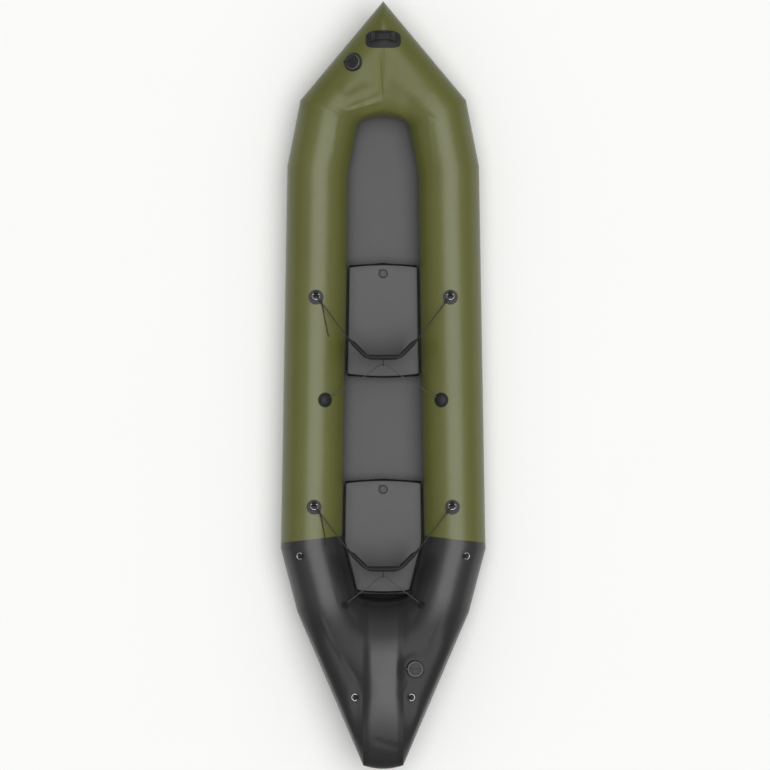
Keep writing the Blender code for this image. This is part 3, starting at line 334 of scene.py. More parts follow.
def noise(tree, place, scale, detail=3.0, roughness=0.5):
    inputs = {"Vector": place, "Scale": scale, "Detail": detail, "Roughness": roughness}
    return add(tree, "TexNoise", inputs).outputs["Fac"]


def maths(tree, operation, first, second):
    return add(tree, "Math", {0: first, 1: second}, operation=operation).outputs["Value"]


def component(tree, place, axis):
    return add(tree, "SeparateXYZ", {"Vector": place}).outputs[axis]


def ramp(tree, value, low, high):
    """A value spread between two limits."""
    inputs = {"Value": value, "To Min": low, "To Max": high}
    return add(tree, "MapRange", inputs).outputs["Result"]


def shaded(colour_value, factor):
    """A colour made lighter or darker, with an alpha of 1."""
    return (*[min(1.0, channel * factor) for channel in colour_value], 1.0)


def mixed(tree, factor, first, second):
    inputs = {"Fac": factor, "Color1": first, "Color2": second}
    return add(tree, "MixRGB", inputs).outputs["Color"]


def shades(tree, factor, base, darkest, lightest):
    """A colour that runs between two shades of a base."""
    return mixed(tree, factor, shaded(base, darkest), shaded(base, lightest))


def bands(tree, place, pitch, direction):
    """Waves that repeat at a pitch in metres."""
    inputs = {"Vector": place, "Scale": math.pi / (10 * pitch)}
    return add(tree, "TexWave", inputs, bands_direction=direction).outputs["Fac"]


def weave(tree, place, pitch):
    """Height of a plain weave in two directions."""
    warp = bands(tree, place, pitch, "X")
    weft = bands(tree, place, pitch, "Y")
    return maths(tree, "MULTIPLY", warp, weft)


def relief(tree, height, distance, base=None):
    inputs = {"Height": height, "Distance": distance, "Strength": 1.0}
    if base is not None:
        inputs["Normal"] = base
    return add(tree, "Bump", inputs).outputs["Normal"]


def wire_up(tree, shader, **links):
    for socket, output in links.items():
        tree.links.new(output, shader.inputs[socket.replace("_", " ")])


def spread(tree, value, roughness, limits=FABRIC_SPREAD):
    """Roughness that wanders between two limits about its value."""
    return ramp(tree, value, roughness + limits[0], roughness + limits[1])


def coated_fabric(name, base, roughness, cloud_share=0.10, pitch=0.0011, grain=0.00002, dull=(), **extra):
    """Coated fabric with clouds, scuffs and the weave's print; dull lists where its gloss fades."""
    tree, shader, place = new_finish(name, roughness, **extra)
    clouds = noise(tree, place, CLOUD_SCALE, 4.0)
    body = shades(tree, clouds, base, 1 - cloud_share, 1 + cloud_share)
    specks = noise(tree, place, SPECK_SCALE, 2.0)
    body = mixed(tree, ramp(tree, specks, 0.0, SPECK_SHARE), body, shaded(base, SPECK_SHADE_SHARE))
    scuffs = noise(tree, place, SCUFF_SCALE, 6.0, 0.62)
    gloss = spread(tree, scuffs, roughness)
    creases = relief(tree, noise(tree, place, CREASE_SCALE), CREASE_DEPTH)
    threads = relief(tree, weave(tree, place, pitch), grain, creases)
    worn = FULL_GLOSS_SHARE
    for axis, start, end, left in dull:
        along = component(tree, place, axis)
        limits = {"Value": along, "From Min": start, "From Max": end, "To Min": 1.0, "To Max": left}
        part = add(tree, "MapRange", limits, interpolation_type="SMOOTHSTEP").outputs["Result"]
        worn = maths(tree, "MULTIPLY", worn, part)
    if dull:
        wire_up(tree, shader, Specular_IOR_Level=worn)
    wire_up(tree, shader, Base_Color=body, Roughness=gloss, Normal=threads)


def cushion_fabric(name, base, roughness, side=None, end=None):
    """Matt fabric of a cushion; the side's colour, darkened further as painted shade, lies behind the end,
    or where the mark is above 0.
    """
    tree, shader, place = new_finish(name, roughness, Specular_IOR_Level=CUSHION_GLOSS_SHARE)
    clouds = noise(tree, place, CUSHION_CLOUD_SCALE, 5.0)
    body = shades(tree, clouds, base, *CUSHION_SHADE_SHARES)
    flecks = noise(tree, place, FLECK_SCALE, 2.0)
    body = mixed(tree, ramp(tree, flecks, 0.0, FLECK_SHARE), body, shaded(base, FLECK_SHADE_SHARE))
    # Painted shade: the side's black, darkened further, stands for the dark gap at a seat's ends and for the
    # shade behind the rear seat
    if side is not None:
        if end is None:
            mark = add(tree, "Attribute", attribute_name=END_SHADE_MARK).outputs["Fac"]
            inputs = {"Value": mark, "From Min": -EDGE_SOFT, "From Max": EDGE_SOFT}
        else:
            along = component(tree, place, "Y")
            inputs = {"Value": along, "From Min": end + EDGE_SOFT, "From Max": end - EDGE_SOFT}
        at_black_wall_and_painted_shade = add(tree, "MapRange", inputs).outputs["Result"]
        body = mixed(tree, at_black_wall_and_painted_shade, body, shaded(side, SIDE_PAINTED_SHADE_SHARE))
    cells = add(tree, "TexVoronoi", {"Vector": place, "Scale": PILE_SCALE}).outputs["Distance"]
    creases = relief(tree, noise(tree, place, CREASE_SCALE), CUSHION_CREASE_DEPTH)
    pile = relief(tree, cells, PILE_DEPTH, creases)
    gloss = spread(tree, clouds, roughness)
    wire_up(tree, shader, Base_Color=body, Roughness=gloss, Normal=pile)


def moulded(name, base, roughness, grain=0.00003, metallic=0.0, scale=700.0, **extra):
    """Moulded rubber, plastic or drawn metal with a fine grain and slight wear."""
    tree, shader, place = new_finish(name, roughness, metallic, **extra)
    wear = noise(tree, place, WEAR_SCALE, 5.0, 0.6)
    body = shades(tree, wear, base, *MOULDED_SHADE_SHARES)
    gloss = spread(tree, wear, roughness, MOULDED_SPREAD)
    skin = relief(tree, noise(tree, place, scale, 2.0), grain)
    wire_up(tree, shader, Base_Color=body, Roughness=gloss, Normal=skin)


def braided(name, base, pitch=0.0016):
    """Braided cord: crossing strands as darker and lighter diamonds."""
    tree, shader, place = new_finish(name, 0.62)
    strands = bands(tree, place, pitch, "DIAGONAL")
    fuzz = noise(tree, place, FUZZ_SCALE, 2.0)
    both = maths(tree, "MULTIPLY", strands, fuzz)
    body = shades(tree, both, base, *STRAND_SHADE_SHARES)
    wire_up(tree, shader, Base_Color=body, Normal=relief(tree, both, STRAND_DEPTH))


def webbing_weave(name, base, pitch=0.0022):
    """Woven webbing with ribs across its width."""
    tree, shader, place = new_finish(name, 0.70, Specular_IOR_Level=0.2)
    ribs = weave(tree, place, pitch)
    body = shades(tree, ribs, base, *RIB_SHADE_SHARES)
    wire_up(tree, shader, Base_Color=body, Normal=relief(tree, ribs, RIB_DEPTH))


# Where the fabric's gloss fades along an axis, from and to in metres, and the share of it that is left
BOW_GLOSS_SHARES = (("Y", 1.18, 1.42, 0.55),)
TAIL_GLOSS_SHARES = (("Y", -0.97, -1.14, 0.36),)
STRIP_GLOSS_SHARES = (
    ("Y", -1.45, -1.74, 0.25),
    ("X", 0.060, 0.078, 0.42),
    ("X", -0.060, -0.078, 0.36),
)


def make_finishes(paints):
    """Every finish that the pieces and the frame's nodes have."""
    dark = {"cloud_share": 0.12}
    coated_fabric("green_fabric", paints.green, 0.34, dull=BOW_GLOSS_SHARES)
    coated_fabric("patch_fabric", paints.black, 0.36, dull=TAIL_GLOSS_SHARES, **dark)
    coated_fabric("black_fabric", paints.black, 0.33, dull=TAIL_GLOSS_SHARES, **dark)
    coated_fabric("strip_fabric", paints.black, 0.33, dull=STRIP_GLOSS_SHARES, **dark)
    coated_fabric("floor_fabric", paints.floor, 0.50, pitch=0.0016, grain=0.00006)
    weave_print = {"pitch": 0.0013, "grain": 0.00004}
    coated_fabric("grey_patch", paints.patch, 0.60, **weave_print, Specular_IOR_Level=0.3)
    cushion_fabric("backrest_fabric", paints.backrest, 0.75)
    cushion_fabric("grey_fabric", paints.grey, 0.60)
    moulded("black_rubber", paints.rubber, 0.55, Specular_IOR_Level=0.28)
    plain = {"grain": 0.00001, "Specular_IOR_Level": 0.30}
    moulded("black_plastic", paints.plastic, 0.36, **plain)
    moulded("grey_plastic", paints.grey_plastic, 0.40, grain=0.00001)
    moulded("steel", paints.steel, 0.32, grain=0.000004, metallic=1.0, scale=1600.0)
    braided("cord", paints.cord)
    braided("thin_cord", paints.thin_cord, 0.0012)
    webbing_weave("webbing", paints.rubber)
    braided("thread", shaded(paints.rubber, 1.6)[:3], 0.0006)
    webbing_weave("binding", shaded(paints.backrest, 1.1)[:3])
    grip = shaded(paints.rubber, 0.8)[:3]
    moulded("grip_rubber", grip, 0.50, Specular_IOR_Level=0.2)
    moulded("valve_rubber", paints.patch, 0.55, Specular_IOR_Level=0.28)
    # Painted highlight: the main valve bodies take the light grey rim colour, which stands for the glint on
    # their flanges
    moulded("gloss_plastic", paints.rim, 0.20, grain=0.000005)
    moulded("plug_plastic", shaded(paints.patch, 0.9)[:3], 0.40, grain=0.00001)
    # Seats: black end walls, darkened further as painted shade of the gap at their ends
    cushion_fabric("seat_fabric", paints.grey, 0.60, paints.black)
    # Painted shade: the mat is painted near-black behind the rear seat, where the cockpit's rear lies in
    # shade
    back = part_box("rear_seat")[0].y
    cushion_fabric("mat_fabric", paints.grey, 0.60, paints.black, back)


def finished(obj, finish):
    """Gives an object its material."""
    obj.data.materials.clear()
    obj.data.materials.append(MATERIALS[finish])
    return obj


# Meshes

WELD_DISTANCE = 1e-6
AXIS_RADIUS = 1e-5
SHARP_ANGLE = math.radians(50)
TURNED_SHARP_ANGLE = math.radians(60)


def new_object(name, data):
    made = bpy.data.objects.new(name, data)
    bpy.context.scene.collection.objects.link(made)
    return made


def mesh_from(name, points, faces):
    mesh = bpy.data.meshes.new(name)
    mesh.from_pydata([tuple(p) for p in points], [], [tuple(f) for f in faces])
    mesh.shade_smooth()
    return new_object(name, mesh)


def grid_faces(rows, columns, cyclic, flip=False):
    last = columns if cyclic else columns - 1
    faces = []
    for i in range(rows - 1):
        for k in range(last):
            beside = (k + 1) % columns
            face = (i * columns + k, i * columns + beside, (i + 1) * columns + beside, (i + 1) * columns + k)
            faces.append(face[::-1] if flip else face)
    return faces


def grid_mesh(name, grid, cyclic=True, flip=False):
    """A surface through rows of points."""
    rows, columns = grid.shape[:2]
    return mesh_from(name, grid.reshape(-1, 3), grid_faces(rows, columns, cyclic, flip))


def closed_grid(name, grid):
    """A solid through closed rings, with a fan over each end."""
    rows, columns = grid.shape[:2]
    points = [tuple(p) for p in grid.reshape(-1, 3)]
    faces = grid_faces(rows, columns, True)
    for start in (0, (rows - 1) * columns):
        points.append(tuple(np.mean(points[start : start + columns], axis=0)))
        ring = [(start + k, start + (k + 1) % columns, len(points) - 1) for k in range(columns)]
        faces += ring
    made = mesh_from(name, points, faces)
    face_outward(made)
    return made


def face_outward(obj, merge=None):
    """Turns the faces outward, after joining points that lie closer than the merge distance."""
    work = bmesh.new()
    work.from_mesh(obj.data)
    if merge:
        bmesh.ops.remove_doubles(work, verts=work.verts, dist=merge)
    bmesh.ops.recalc_face_normals(work, faces=work.faces)
    work.to_mesh(obj.data)
    work.free()


def evaluated_mesh(obj):
    graph = bpy.context.evaluated_depsgraph_get()
    return bpy.data.meshes.new_from_object(obj.evaluated_get(graph))


def applied(obj):
    """Turns an object's modifiers into its mesh."""
    mesh = evaluated_mesh(obj)
    obj.modifiers.clear()
    old = obj.data
    obj.data = mesh
    bpy.data.meshes.remove(old)
    return obj


def sharpen(obj, angle=SHARP_ANGLE):
    """Shades the edges that bend more than an angle as sharp."""
    obj.data.set_sharp_from_angle(angle=angle)


def thickened(obj, thickness):
    made = obj.modifiers.new("thickness", "SOLIDIFY")
    made.thickness = thickness
    made.offset = -1
    return applied(obj)


def joined(name, pieces):
    """Several mesh objects as one."""
    with bpy.context.temp_override(active_object=pieces[0], selected_editable_objects=pieces):
        bpy.ops.object.join()
    pieces[0].name = name
    pieces[0].data.name = name
    return pieces[0]


def unit_circle(steps, turn=math.tau):
    angles = np.linspace(0, turn, steps, endpoint=turn < math.tau)
    return np.stack([np.cos(angles), np.sin(angles)], 1)


def rounded(profile, radius, steps=3):
    """A profile whose corners are rounded, each by a small curve."""
    points = [np.array(profile[0], float)]
    for before, corner, after in zip(profile, profile[1:], profile[2:]):
        before, corner, after = (np.array(p, float) for p in (before, corner, after))
        back, ahead = before - corner, after - corner
        reach = min(radius, norm(back) / 2, norm(ahead) / 2)
        start = corner + back / norm(back) * reach
        end = corner + ahead / norm(ahead) * reach
        for i in range(steps + 1):
            t = i / steps
            points.append(start * (1 - t) ** 2 + corner * 2 * t * (1 - t) + end * t * t)
    points.append(np.array(profile[-1], float))
    return points


def lathe(name, profile, place, finish, steps=96, ripple=None):
    """A profile turned about a frame's Z; ripple gives its ribs' count, depth and least radius."""
    circle = unit_circle(steps)
    grid = np.zeros((len(profile), steps, 3))
    for i, (radius, height) in enumerate(profile):
        radii = np.full(steps, max(radius, AXIS_RADIUS))
        if ripple and radius > ripple[2]:
            radii += ripple[1] * np.cos(ripple[0] * np.arange(steps) * math.tau / steps)
        grid[i, :, :2] = circle * radii[:, None]
        grid[i, :, 2] = height
    if profile[0][0] < AXIS_RADIUS:
        made = closed_grid(name, grid)
    else:
        made = grid_mesh(name, np.concatenate([grid, grid[:1]]))
        face_outward(made, WELD_DISTANCE)
    made.data.transform(place)
    sharpen(made, TURNED_SHARP_ANGLE)
    return finished(made, finish)


def wire(name, points, diameter, finish, cyclic=False, sides=3):
    """A round wire, thread or piping along points, as a mesh."""
    curve = bpy.data.curves.new(name, "CURVE")
    curve.dimensions = "3D"
    spline = curve.splines.new("POLY")
    spline.points.add(len(points) - 1)
    for point, place in zip(spline.points, points):
        point.co = (*place, 1.0)
    spline.use_cyclic_u = cyclic
    curve.bevel_depth = diameter / 2
    curve.bevel_resolution = sides
    curve.use_fill_caps = not cyclic
    holder = new_object(name, curve)
    mesh = evaluated_mesh(holder)
    bpy.data.objects.remove(holder)
    bpy.data.curves.remove(curve)
    mesh.shade_smooth()
    made = new_object(name, mesh)
    face_outward(made, WELD_DISTANCE)
    return finished(made, finish)


def strap(name, path, width, thickness, finish):
    """Webbing of a width along X, bent along a path of points in the YZ plane."""
    path = [np.array(p, float) for p in path]
    half = width / 2
    flat = half - thickness / 3
    outline = ((-flat, -1), (flat, -1), (half, 0), (flat, 1), (-flat, 1), (-half, 0))
    rows = []
    for i, point in enumerate(path):
        run = path[min(i + 1, len(path) - 1)] - path[max(i - 1, 0)]
        rise = np.array([-run[1], run[0]]) / norm(run) * thickness / 2
        rows.append([(x, *(point + rise * side)) for x, side in outline])
    made = closed_grid(name, np.array(rows))
    sharpen(made)
    return finished(made, finish)


# Hull plan and sections


def smooth(value, start, end):
    """Rises from 0 to 1 between two values."""
    part = np.clip((value - start) / (end - start), 0, 1)
    return part * part * (3 - 2 * part)


def hump(value, middle, width):
    return np.exp(-(((value - middle) / width) ** 2))


def inward(run):
    return np.array([run[1], -run[0]]) / norm(run)


def mitre(before, corner, after, tube):
    """Outer, crest and inner plan points where two tubes meet."""
    first = inward(corner - before)
    across = first + inward(after - corner)
    across /= norm(across)
    reach = tube / across.dot(first)
    return corner, corner + across * reach / 2, corner + across * reach


# Places of the outline's corners, as shares of half the beam and half the length
SHOULDER_SHARES = (0.810, 0.742)
SIDE_FRONT_SHARES = (0.937, 0.570)
SIDE_REAR_SHARES = (1.0, -0.427)
QUARTER_SHARE = -0.591


class Plan:
    """Plan outline of the hull and the sections of its tubes, each an outer, a crest and an inner point."""

    def __init__(self, sizes):
        self.sizes = sizes
        self.half_length = sizes.length / 2
        self.radius = sizes.tube / 2
        self.middle = sizes.ground + self.radius
        half = np.array([sizes.beam / 2, self.half_length])
        self.tip = np.array([0, self.half_length])
        self.shoulder = half * SHOULDER_SHARES
        self.side_front = half * SIDE_FRONT_SHARES
        self.side_rear = half * SIDE_REAR_SHARES
        quarter_half = sizes.strip / 2 + sizes.tube + sizes.tail_span
        self.quarter = np.array([quarter_half, QUARTER_SHARE * self.half_length])
        self.corner = np.array([sizes.strip / 2, -self.half_length + sizes.stern_round])
        tube = sizes.tube
        self.shoulder_mitre = mitre(self.tip, self.shoulder, self.side_front, tube)
        self.front_mitre = mitre(self.shoulder, self.side_front, self.side_rear, tube)
        self.rear_mitre = mitre(self.side_front, self.side_rear, self.quarter, tube)
        self.quarter_mitre = mitre(self.side_rear, self.quarter, self.corner, tube)
        self.front_apex = self.half_length - sizes.bow_deck
        self.rear_apex = -self.half_length + sizes.stern_deck
        start, run = self.quarter_mitre[1], self.corner - self.quarter
        self.strip_crest = start + run * (sizes.strip / 2 - start[0]) / run[0]

    def lift(self, y):
        """Upward sweep of the bow and the stern."""
        front, rear = self.side_front[1], self.side_rear[1]
        bow = np.clip((y - front) / (self.half_length - front), 0, None) ** 2
        stern = np.clip((rear - y) / (rear + self.half_length), 0, None) ** 2
        return self.sizes.bow_rise * bow + self.sizes.stern_rise * stern

    def arch(self, turn, end, apex):
        return np.array([end[0] * math.sin(turn), end[1] + (apex - end[1]) * math.cos(turn)])

    def bow(self, part):
        run = self.shoulder - self.tip
        crest = self.tip - np.array([0, self.radius * norm(run) / run[0]])
        inner = self.arch(part * math.pi / 2, self.shoulder_mitre[2], self.front_apex)
        return (
            self.tip + (self.shoulder - self.tip) * part,
            crest + (self.shoulder_mitre[1] - crest) * part,
            inner,
        )

    def tail(self, part):
        end = self.quarter_mitre[2]
        turn_end = math.asin(self.sizes.strip / 2 / end[0])
        turn = math.pi / 2 + (turn_end - math.pi / 2) * part
        return (
            self.quarter + (self.corner - self.quarter) * part,
            self.quarter_mitre[1] + (self.strip_crest - self.quarter_mitre[1]) * part,
            self.arch(turn, end, self.rear_apex),
        )

    def strip(self, part):
        across = 1 - 2 * part
        x = across * self.sizes.strip / 2
        end = self.quarter_mitre[2]
        turn = math.asin(abs(x) / end[0])
        return (
            np.array([x, -self.half_length + self.sizes.stern_round * across * across]),
            np.array([x, self.strip_crest[1]]),
            np.array([x, self.arch(turn, end, self.rear_apex)[1]]),
        )

    def between(self, first, second):
        return lambda part: tuple(a + (b - a) * part for a, b in zip(first, second))

    def segments(self):
        """Name, section and finish of each pair of panels, from the bow back."""
        return (
            ("bow", self.bow, "green_fabric"),
            ("shoulder", self.between(self.shoulder_mitre, self.front_mitre), "green_fabric"),
            ("side", self.between(self.front_mitre, self.rear_mitre), "green_fabric"),
            ("quarter", self.between(self.rear_mitre, self.quarter_mitre), "black_fabric"),
            ("tail", self.tail, "black_fabric"),
        )

    def ring(self, section, turns):
        """Points round a section at these turns, 0 outboard and a quarter turn on top."""
        outer, crest, inner = section
        cosine = np.cos(turns)[:, None]
        plan = crest + np.where(cosine >= 0, outer - crest, crest - inner) * cosine
        height = self.middle + self.lift(plan[:, 1]) + self.radius * np.sin(turns)
        return np.column_stack([plan, height])

    def cockpit_half_width(self, y):
        """Half the clear width between the tubes at mid height."""
        front, rear = self.shoulder_mitre[2], self.quarter_mitre[2]
        rims = [front, self.front_mitre[2], self.rear_mitre[2], rear][::-1]
        width = np.interp(y, [p[1] for p in rims], [p[0] for p in rims])
        ahead = np.clip((y - front[1]) / (self.front_apex - front[1]), 0, 1)
        behind = np.clip((rear[1] - y) / (rear[1] - self.rear_apex), 0, 1)
        return width * np.sqrt(1 - ahead**2) * np.sqrt(1 - behind**2)


# Size of the picture's pixels at the tubes' top, and where the hull's middle lies in it
PIXEL = 3.609 / 770
PICTURE_MIDDLE = (383.2, 385.0)
# Where a fold comes in and goes along its line, and where the forms start over a tube's middle
FOLD_START_SHARES = (-0.1, 0.25)
FOLD_END_SHARES = (0.75, 1.1)
RELIEF_UPPER_SHARES = (0.05, 0.5)
SQUARE_UPPER_SHARES = (0.05, 0.45)
# Where along a panel a section is squarer, and how square it is: inboard at bow and stern, and outboard
BOW_FULL_SHARES = (0.35, 1.0)
TAIL_FULL_SHARES = (0.0, 0.8)
FLANK_FULL_SHARES = (0.30, 0.70)
BOW_SQUARE = 4.5
STERN_SQUARE = 3.0
FLANK_SQUARE = 3.4


def ground_point(x, y):
    """Plan place seen at a pixel of the picture."""
    return np.array([(x - PICTURE_MIDDLE[0]) * PIXEL, (PICTURE_MIDDLE[1] - y) * PIXEL])


def near_line(points, start, end, width):
    """1 on a line in plan, falling off beside it and at its ends."""
    start, end = ground_point(*start), ground_point(*end)
    run = end - start
    along = (points[..., :2] - start) @ run / run.dot(run)
    foot = start + np.clip(along, 0, 1)[..., None] * run
    away = norm(points[..., :2] - foot, axis=-1)
    return hump(away, 0, width) * smooth(along, *FOLD_START_SHARES) * (1 - smooth(along, *FOLD_END_SHARES))


def squarer(turns, exponent):
    """Share of the radius that a squarer section's upper side stands above a round one's."""
    sine = np.clip(np.sin(turns), 0, 1)
    full = (1 - np.abs(np.cos(turns)) ** exponent) ** (1 / exponent)
    return (full - sine) * smooth(sine, *SQUARE_UPPER_SHARES)


def deck_fullness(plan, name, parts, turns):
    """Height that flattens the bow and stern decks between their crests and the cockpit."""
    inner = {
        "bow": 1 - smooth(parts, *BOW_FULL_SHARES),
        "tail": smooth(parts, *TAIL_FULL_SHARES),
        "stern_strip": np.ones(len(parts)),
    }
    start, end = FLANK_FULL_SHARES
    outer = {"tail": smooth(parts, 0.0, start) * (1 - smooth(parts, end, 1.0))}
    none = np.zeros(len(parts))
    inner_square = BOW_SQUARE if name == "bow" else STERN_SQUARE
    behind = np.where(np.cos(turns) < 0, squarer(turns, inner_square), 0)
    ahead = np.where(np.cos(turns) >= 0, squarer(turns, FLANK_SQUARE), 0)
    added = np.outer(inner.get(name, none), behind) + np.outer(outer.get(name, none), ahead)
    return added * plan.radius


# Folds of the bow and stern decks: start and end pixels, width and height
DECK_FOLDS = (
    ((345, 112), (381, 100.5), 0.0075, 0.0040),
    ((350, 107.5), (383, 95), 0.0100, -0.0030),
    ((378.5, 54), (382, 99), 0.0070, -0.0036),
    ((386, 44), (385.5, 80), 0.0110, 0.0026),
    ((392, 76), (424, 100), 0.0450, 0.0060),
    ((340, 92), (368, 76), 0.0330, 0.0045),
    ((343, 100), (374, 86), 0.0220, -0.0030),
    ((318, 104), (349, 122.5), 0.0070, -0.0020),
    ((325, 101), (352, 113), 0.0110, 0.0014),
    ((427, 118), (434, 168), 0.0060, 0.0016),
    ((337, 122), (333, 160), 0.0080, 0.0010),
    ((420, 112), (440, 121), 0.0080, -0.0010),
    ((376, 10), (384, 27), 0.0120, 0.0016),
    ((318, 613), (336, 650), 0.0060, 0.0022),
    ((336, 650), (362, 692), 0.0060, 0.0022),
    ((440, 614), (425, 648), 0.0060, 0.0022),
    ((425, 648), (402, 690), 0.0060, 0.0018),
    ((343, 601), (357, 627), 0.0110, -0.0018),
    ((424, 601), (410, 627), 0.0110, -0.0018),
    ((372, 740), (402, 749), 0.0090, -0.0034),
    ((366, 760), (400, 761), 0.0060, 0.0022),
)
# Half the width of the stern deck's crown, in pixels, at rows of the picture
CROWN_ROWS = (600, 619, 650, 677, 693, 770)
CROWN_REACH = (64, 58, 49, 28, 21, 21)
# Rows between which each form of the stern deck comes in, and those between which it goes again
CROWN_IN, CROWN_OUT = (603, 642), (670, 735)
PILLOW_IN, PILLOW_OUT = (626, 658), (692, 756)
STEP_IN, STEP_OUT = (643, 647), (647, 690)
TROUGH_IN = (680, 700)
DIP_IN = (712, 752)
# Heights of the smaller ones: the step in the pillow, the troughs beside it and the dip at the end
STEP_HEIGHT = 0.0009
TROUGH_DEPTH = 0.0016
TROUGH_WIDTH = 0.008
DIP_DEPTH = 0.0045
# How far across the strip the pillow and the dip start to fall off, and where they end
PILLOW_SHARES = (0.28, 0.52)
DIP_SHARES = (0.40, 0.52)


def over_rows(y, rows):
    """Rises from 0 to 1 between two rows of the picture, towards the stern."""
    start, end = (-ground_point(0, row)[1] for row in rows)
    return smooth(-y, start, end)


def deck_relief(plan, points, up):
    """Height that the folds of the bow and the crown and pillow of the stern add to the upper side."""
    x, y = points[..., 0], points[..., 1]
    added = sum(height * near_line(points, start, end, width) for start, end, width, height in DECK_FOLDS)
    sizes = plan.sizes
    reach = np.interp(PICTURE_MIDDLE[1] - y / PIXEL, CROWN_ROWS, CROWN_REACH) * PIXEL
    crown = np.clip(1 - (x / reach) ** 2, 0, 1) * over_rows(y, CROWN_IN) * (1 - over_rows(y, CROWN_OUT))
    added += sizes.crown * crown
    across = np.abs(x)
    flat, wide = (
        1 - smooth(across, sizes.strip * start, sizes.strip * end)
        for start, end in (PILLOW_SHARES, DIP_SHARES)
    )
    pillow = flat * over_rows(y, PILLOW_IN) * (1 - over_rows(y, PILLOW_OUT))
    step = flat * over_rows(y, STEP_IN) * (1 - over_rows(y, STEP_OUT))
    added += sizes.pillow * pillow + STEP_HEIGHT * step
    trough = hump(across, sizes.strip / 2, TROUGH_WIDTH) * over_rows(y, TROUGH_IN)
    added -= TROUGH_DEPTH * trough + DIP_DEPTH * wide * over_rows(y, DIP_IN)
    return added * smooth(up, *RELIEF_UPPER_SHARES) * clear_of_fittings(points)


# How far from a fitting's middle the decks' forms start and are back in full, in widths of its pad
CLEAR_SHARES = (0.45, 1.0)


def clear_of_fittings(points):
    """0 where a fitting sits on the deck, which stays as the frame has it there."""
    kept = 1.0
    for node in ("bow_valve_pad", "stern_valve_pad", "tail_tie_port_patch", "tail_tie_starboard_patch"):
        low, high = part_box(node)
        middle = np.array((low + high) / 2)[:2]
        away = norm(points[..., :2] - middle, axis=-1)
        start, end = ((high.x - low.x) * share_from for share_from in CLEAR_SHARES)
        kept = kept * smooth(away, start, end)
    return kept


# Rows of a panel at its seams, as shares of the tape's width
TAPE_ROW_SHARES = (0.0, 0.5, 0.9, 1.15)
# How high the small folds at a panel's front and rear seams stand
SEAM_FOLD_SHARES = {
    "bow": (1.0, 1.0),
    "shoulder": (1.0, 0.5),
    "side": (0.5, 0.5),
    "quarter": (0.5, 1.0),
    "tail": (1.0, 0.0),
}
# Length that the small folds fade over, and the pitches of their two waves
FOLD_FADE = 0.045
FOLD_PITCHES = (0.034, 0.021)
# How far outboard a mitred seam starts to stay sharp, and where it is sharp
OUTBOARD_SHARES = (0.25, 0.95)


def panel_rows(length, sizes):
    """Distances along a panel: close together at the seam tapes, then even."""
    ends = [sizes.tape * row_share for row_share in TAPE_ROW_SHARES]
    middle = max(2, math.ceil((length - 2 * ends[-1]) / sizes.step))
    rows = ends + list(np.linspace(ends[-1], length - ends[-1], middle + 1)[1:-1])
    return rows + [length - d for d in ends[::-1]]


def puckers(plan, distance, turns):
    """Small folds that run out from a mitred seam on its inner side."""
    inner = smooth(-np.cos(turns), 0.0, 0.6) * smooth(np.sin(turns), -0.3, 0.3)
    arc = plan.radius * turns
    first, second = (arc * math.tau / pitch for pitch in FOLD_PITCHES)
    waves = np.cos(first) + 0.6 * np.cos(second + 1.0)
    return plan.sizes.pucker * np.exp(-distance[:, None] / FOLD_FADE) * (waves * inner)[None, :]


def panel_grid(plan, name, section):
    """Points of one starboard panel."""
    sizes = plan.sizes
    length = norm(section(1)[1] - section(0)[1])
    rows = np.array(panel_rows(length, sizes))
    turns = np.arange(sizes.around) * math.tau / sizes.around
    grid = np.array([plan.ring(section(row / length), turns) for row in rows])
    hub = np.array([[*section(row / length)[1], 0] for row in rows])
    hub[:, 2] = plan.middle + plan.lift(hub[:, 1])
    out = grid - hub[:, None, :]
    out /= norm(out, axis=2)[..., None]
    from_end = np.minimum(rows, length - rows)
    raised = np.where(from_end <= sizes.tape, sizes.tape_height, 0.0)[:, None]
    fuller = deck_fullness(plan, name, rows / length, turns)
    start, end = SEAM_FOLD_SHARES[name]
    folds = start * puckers(plan, rows, turns) + end * puckers(plan, length - rows, turns)
    grid += out * (raised + folds)[..., None]
    grid[..., 2] += fuller
    return grid, rows, turns


def softened(grids, distances, turns, reach):
    """Rounds the seams of a side's panels, except outboard: rows near one are averaged over both panels."""
    rings = np.concatenate(grids)
    ends = np.cumsum([0.0] + [rows[-1] for rows in distances])
    marks = np.concatenate([start + rows for start, rows in zip(ends, distances)])
    everything = np.concatenate([rings[::-1] * [-1, 1, 1], rings])
    places = np.concatenate([-marks[::-1], marks])
    weights = np.exp(-(((marks[:, None] - places[None, :]) / reach) ** 2)) * np.gradient(places)
    weights /= weights.sum(1, keepdims=True)
    average = np.einsum("ij,jkl->ikl", weights, everything)
    away = np.abs(marks[:, None] - ends[None, :-1]).min(1)
    outboard = smooth(np.cos(turns), *OUTBOARD_SHARES)
    kept = np.maximum(smooth(away, reach * 2, reach * 4)[:, None], outboard[None, :])[..., None]
    rings = average + (rings - average) * kept
    return np.split(rings, np.cumsum([len(grid) for grid in grids])[:-1])


def drawn_panel(plan, name, grid, turns, flip):
    grid = grid.copy()
    grid[..., 2] += deck_relief(plan, grid, np.broadcast_to(np.sin(turns), grid.shape[:2]))
    made = grid_mesh(name, grid, flip=flip)
    surface = [tuple(p) for p in grid.reshape(-1, 3)]
    SURFACES[name] = BVHTree.FromPolygons(surface, [tuple(f.vertices) for f in made.data.polygons])
    return made


def height_over(place, u, v, reach=0.3):
    """Height of the hull above a frame's plane."""
    start = place @ Vector((u, v, reach))
    down = -(place.to_3x3() @ Vector((0, 0, 1)))
    hits = [tree.ray_cast(start, down)[3] for tree in SURFACES.values()]
    return reach - min(hit for hit in hits if hit is not None)


# Frames of the fittings


def node_points(node):
    return np.array([v.co for v in frame["nodes"][node].data.vertices], float)


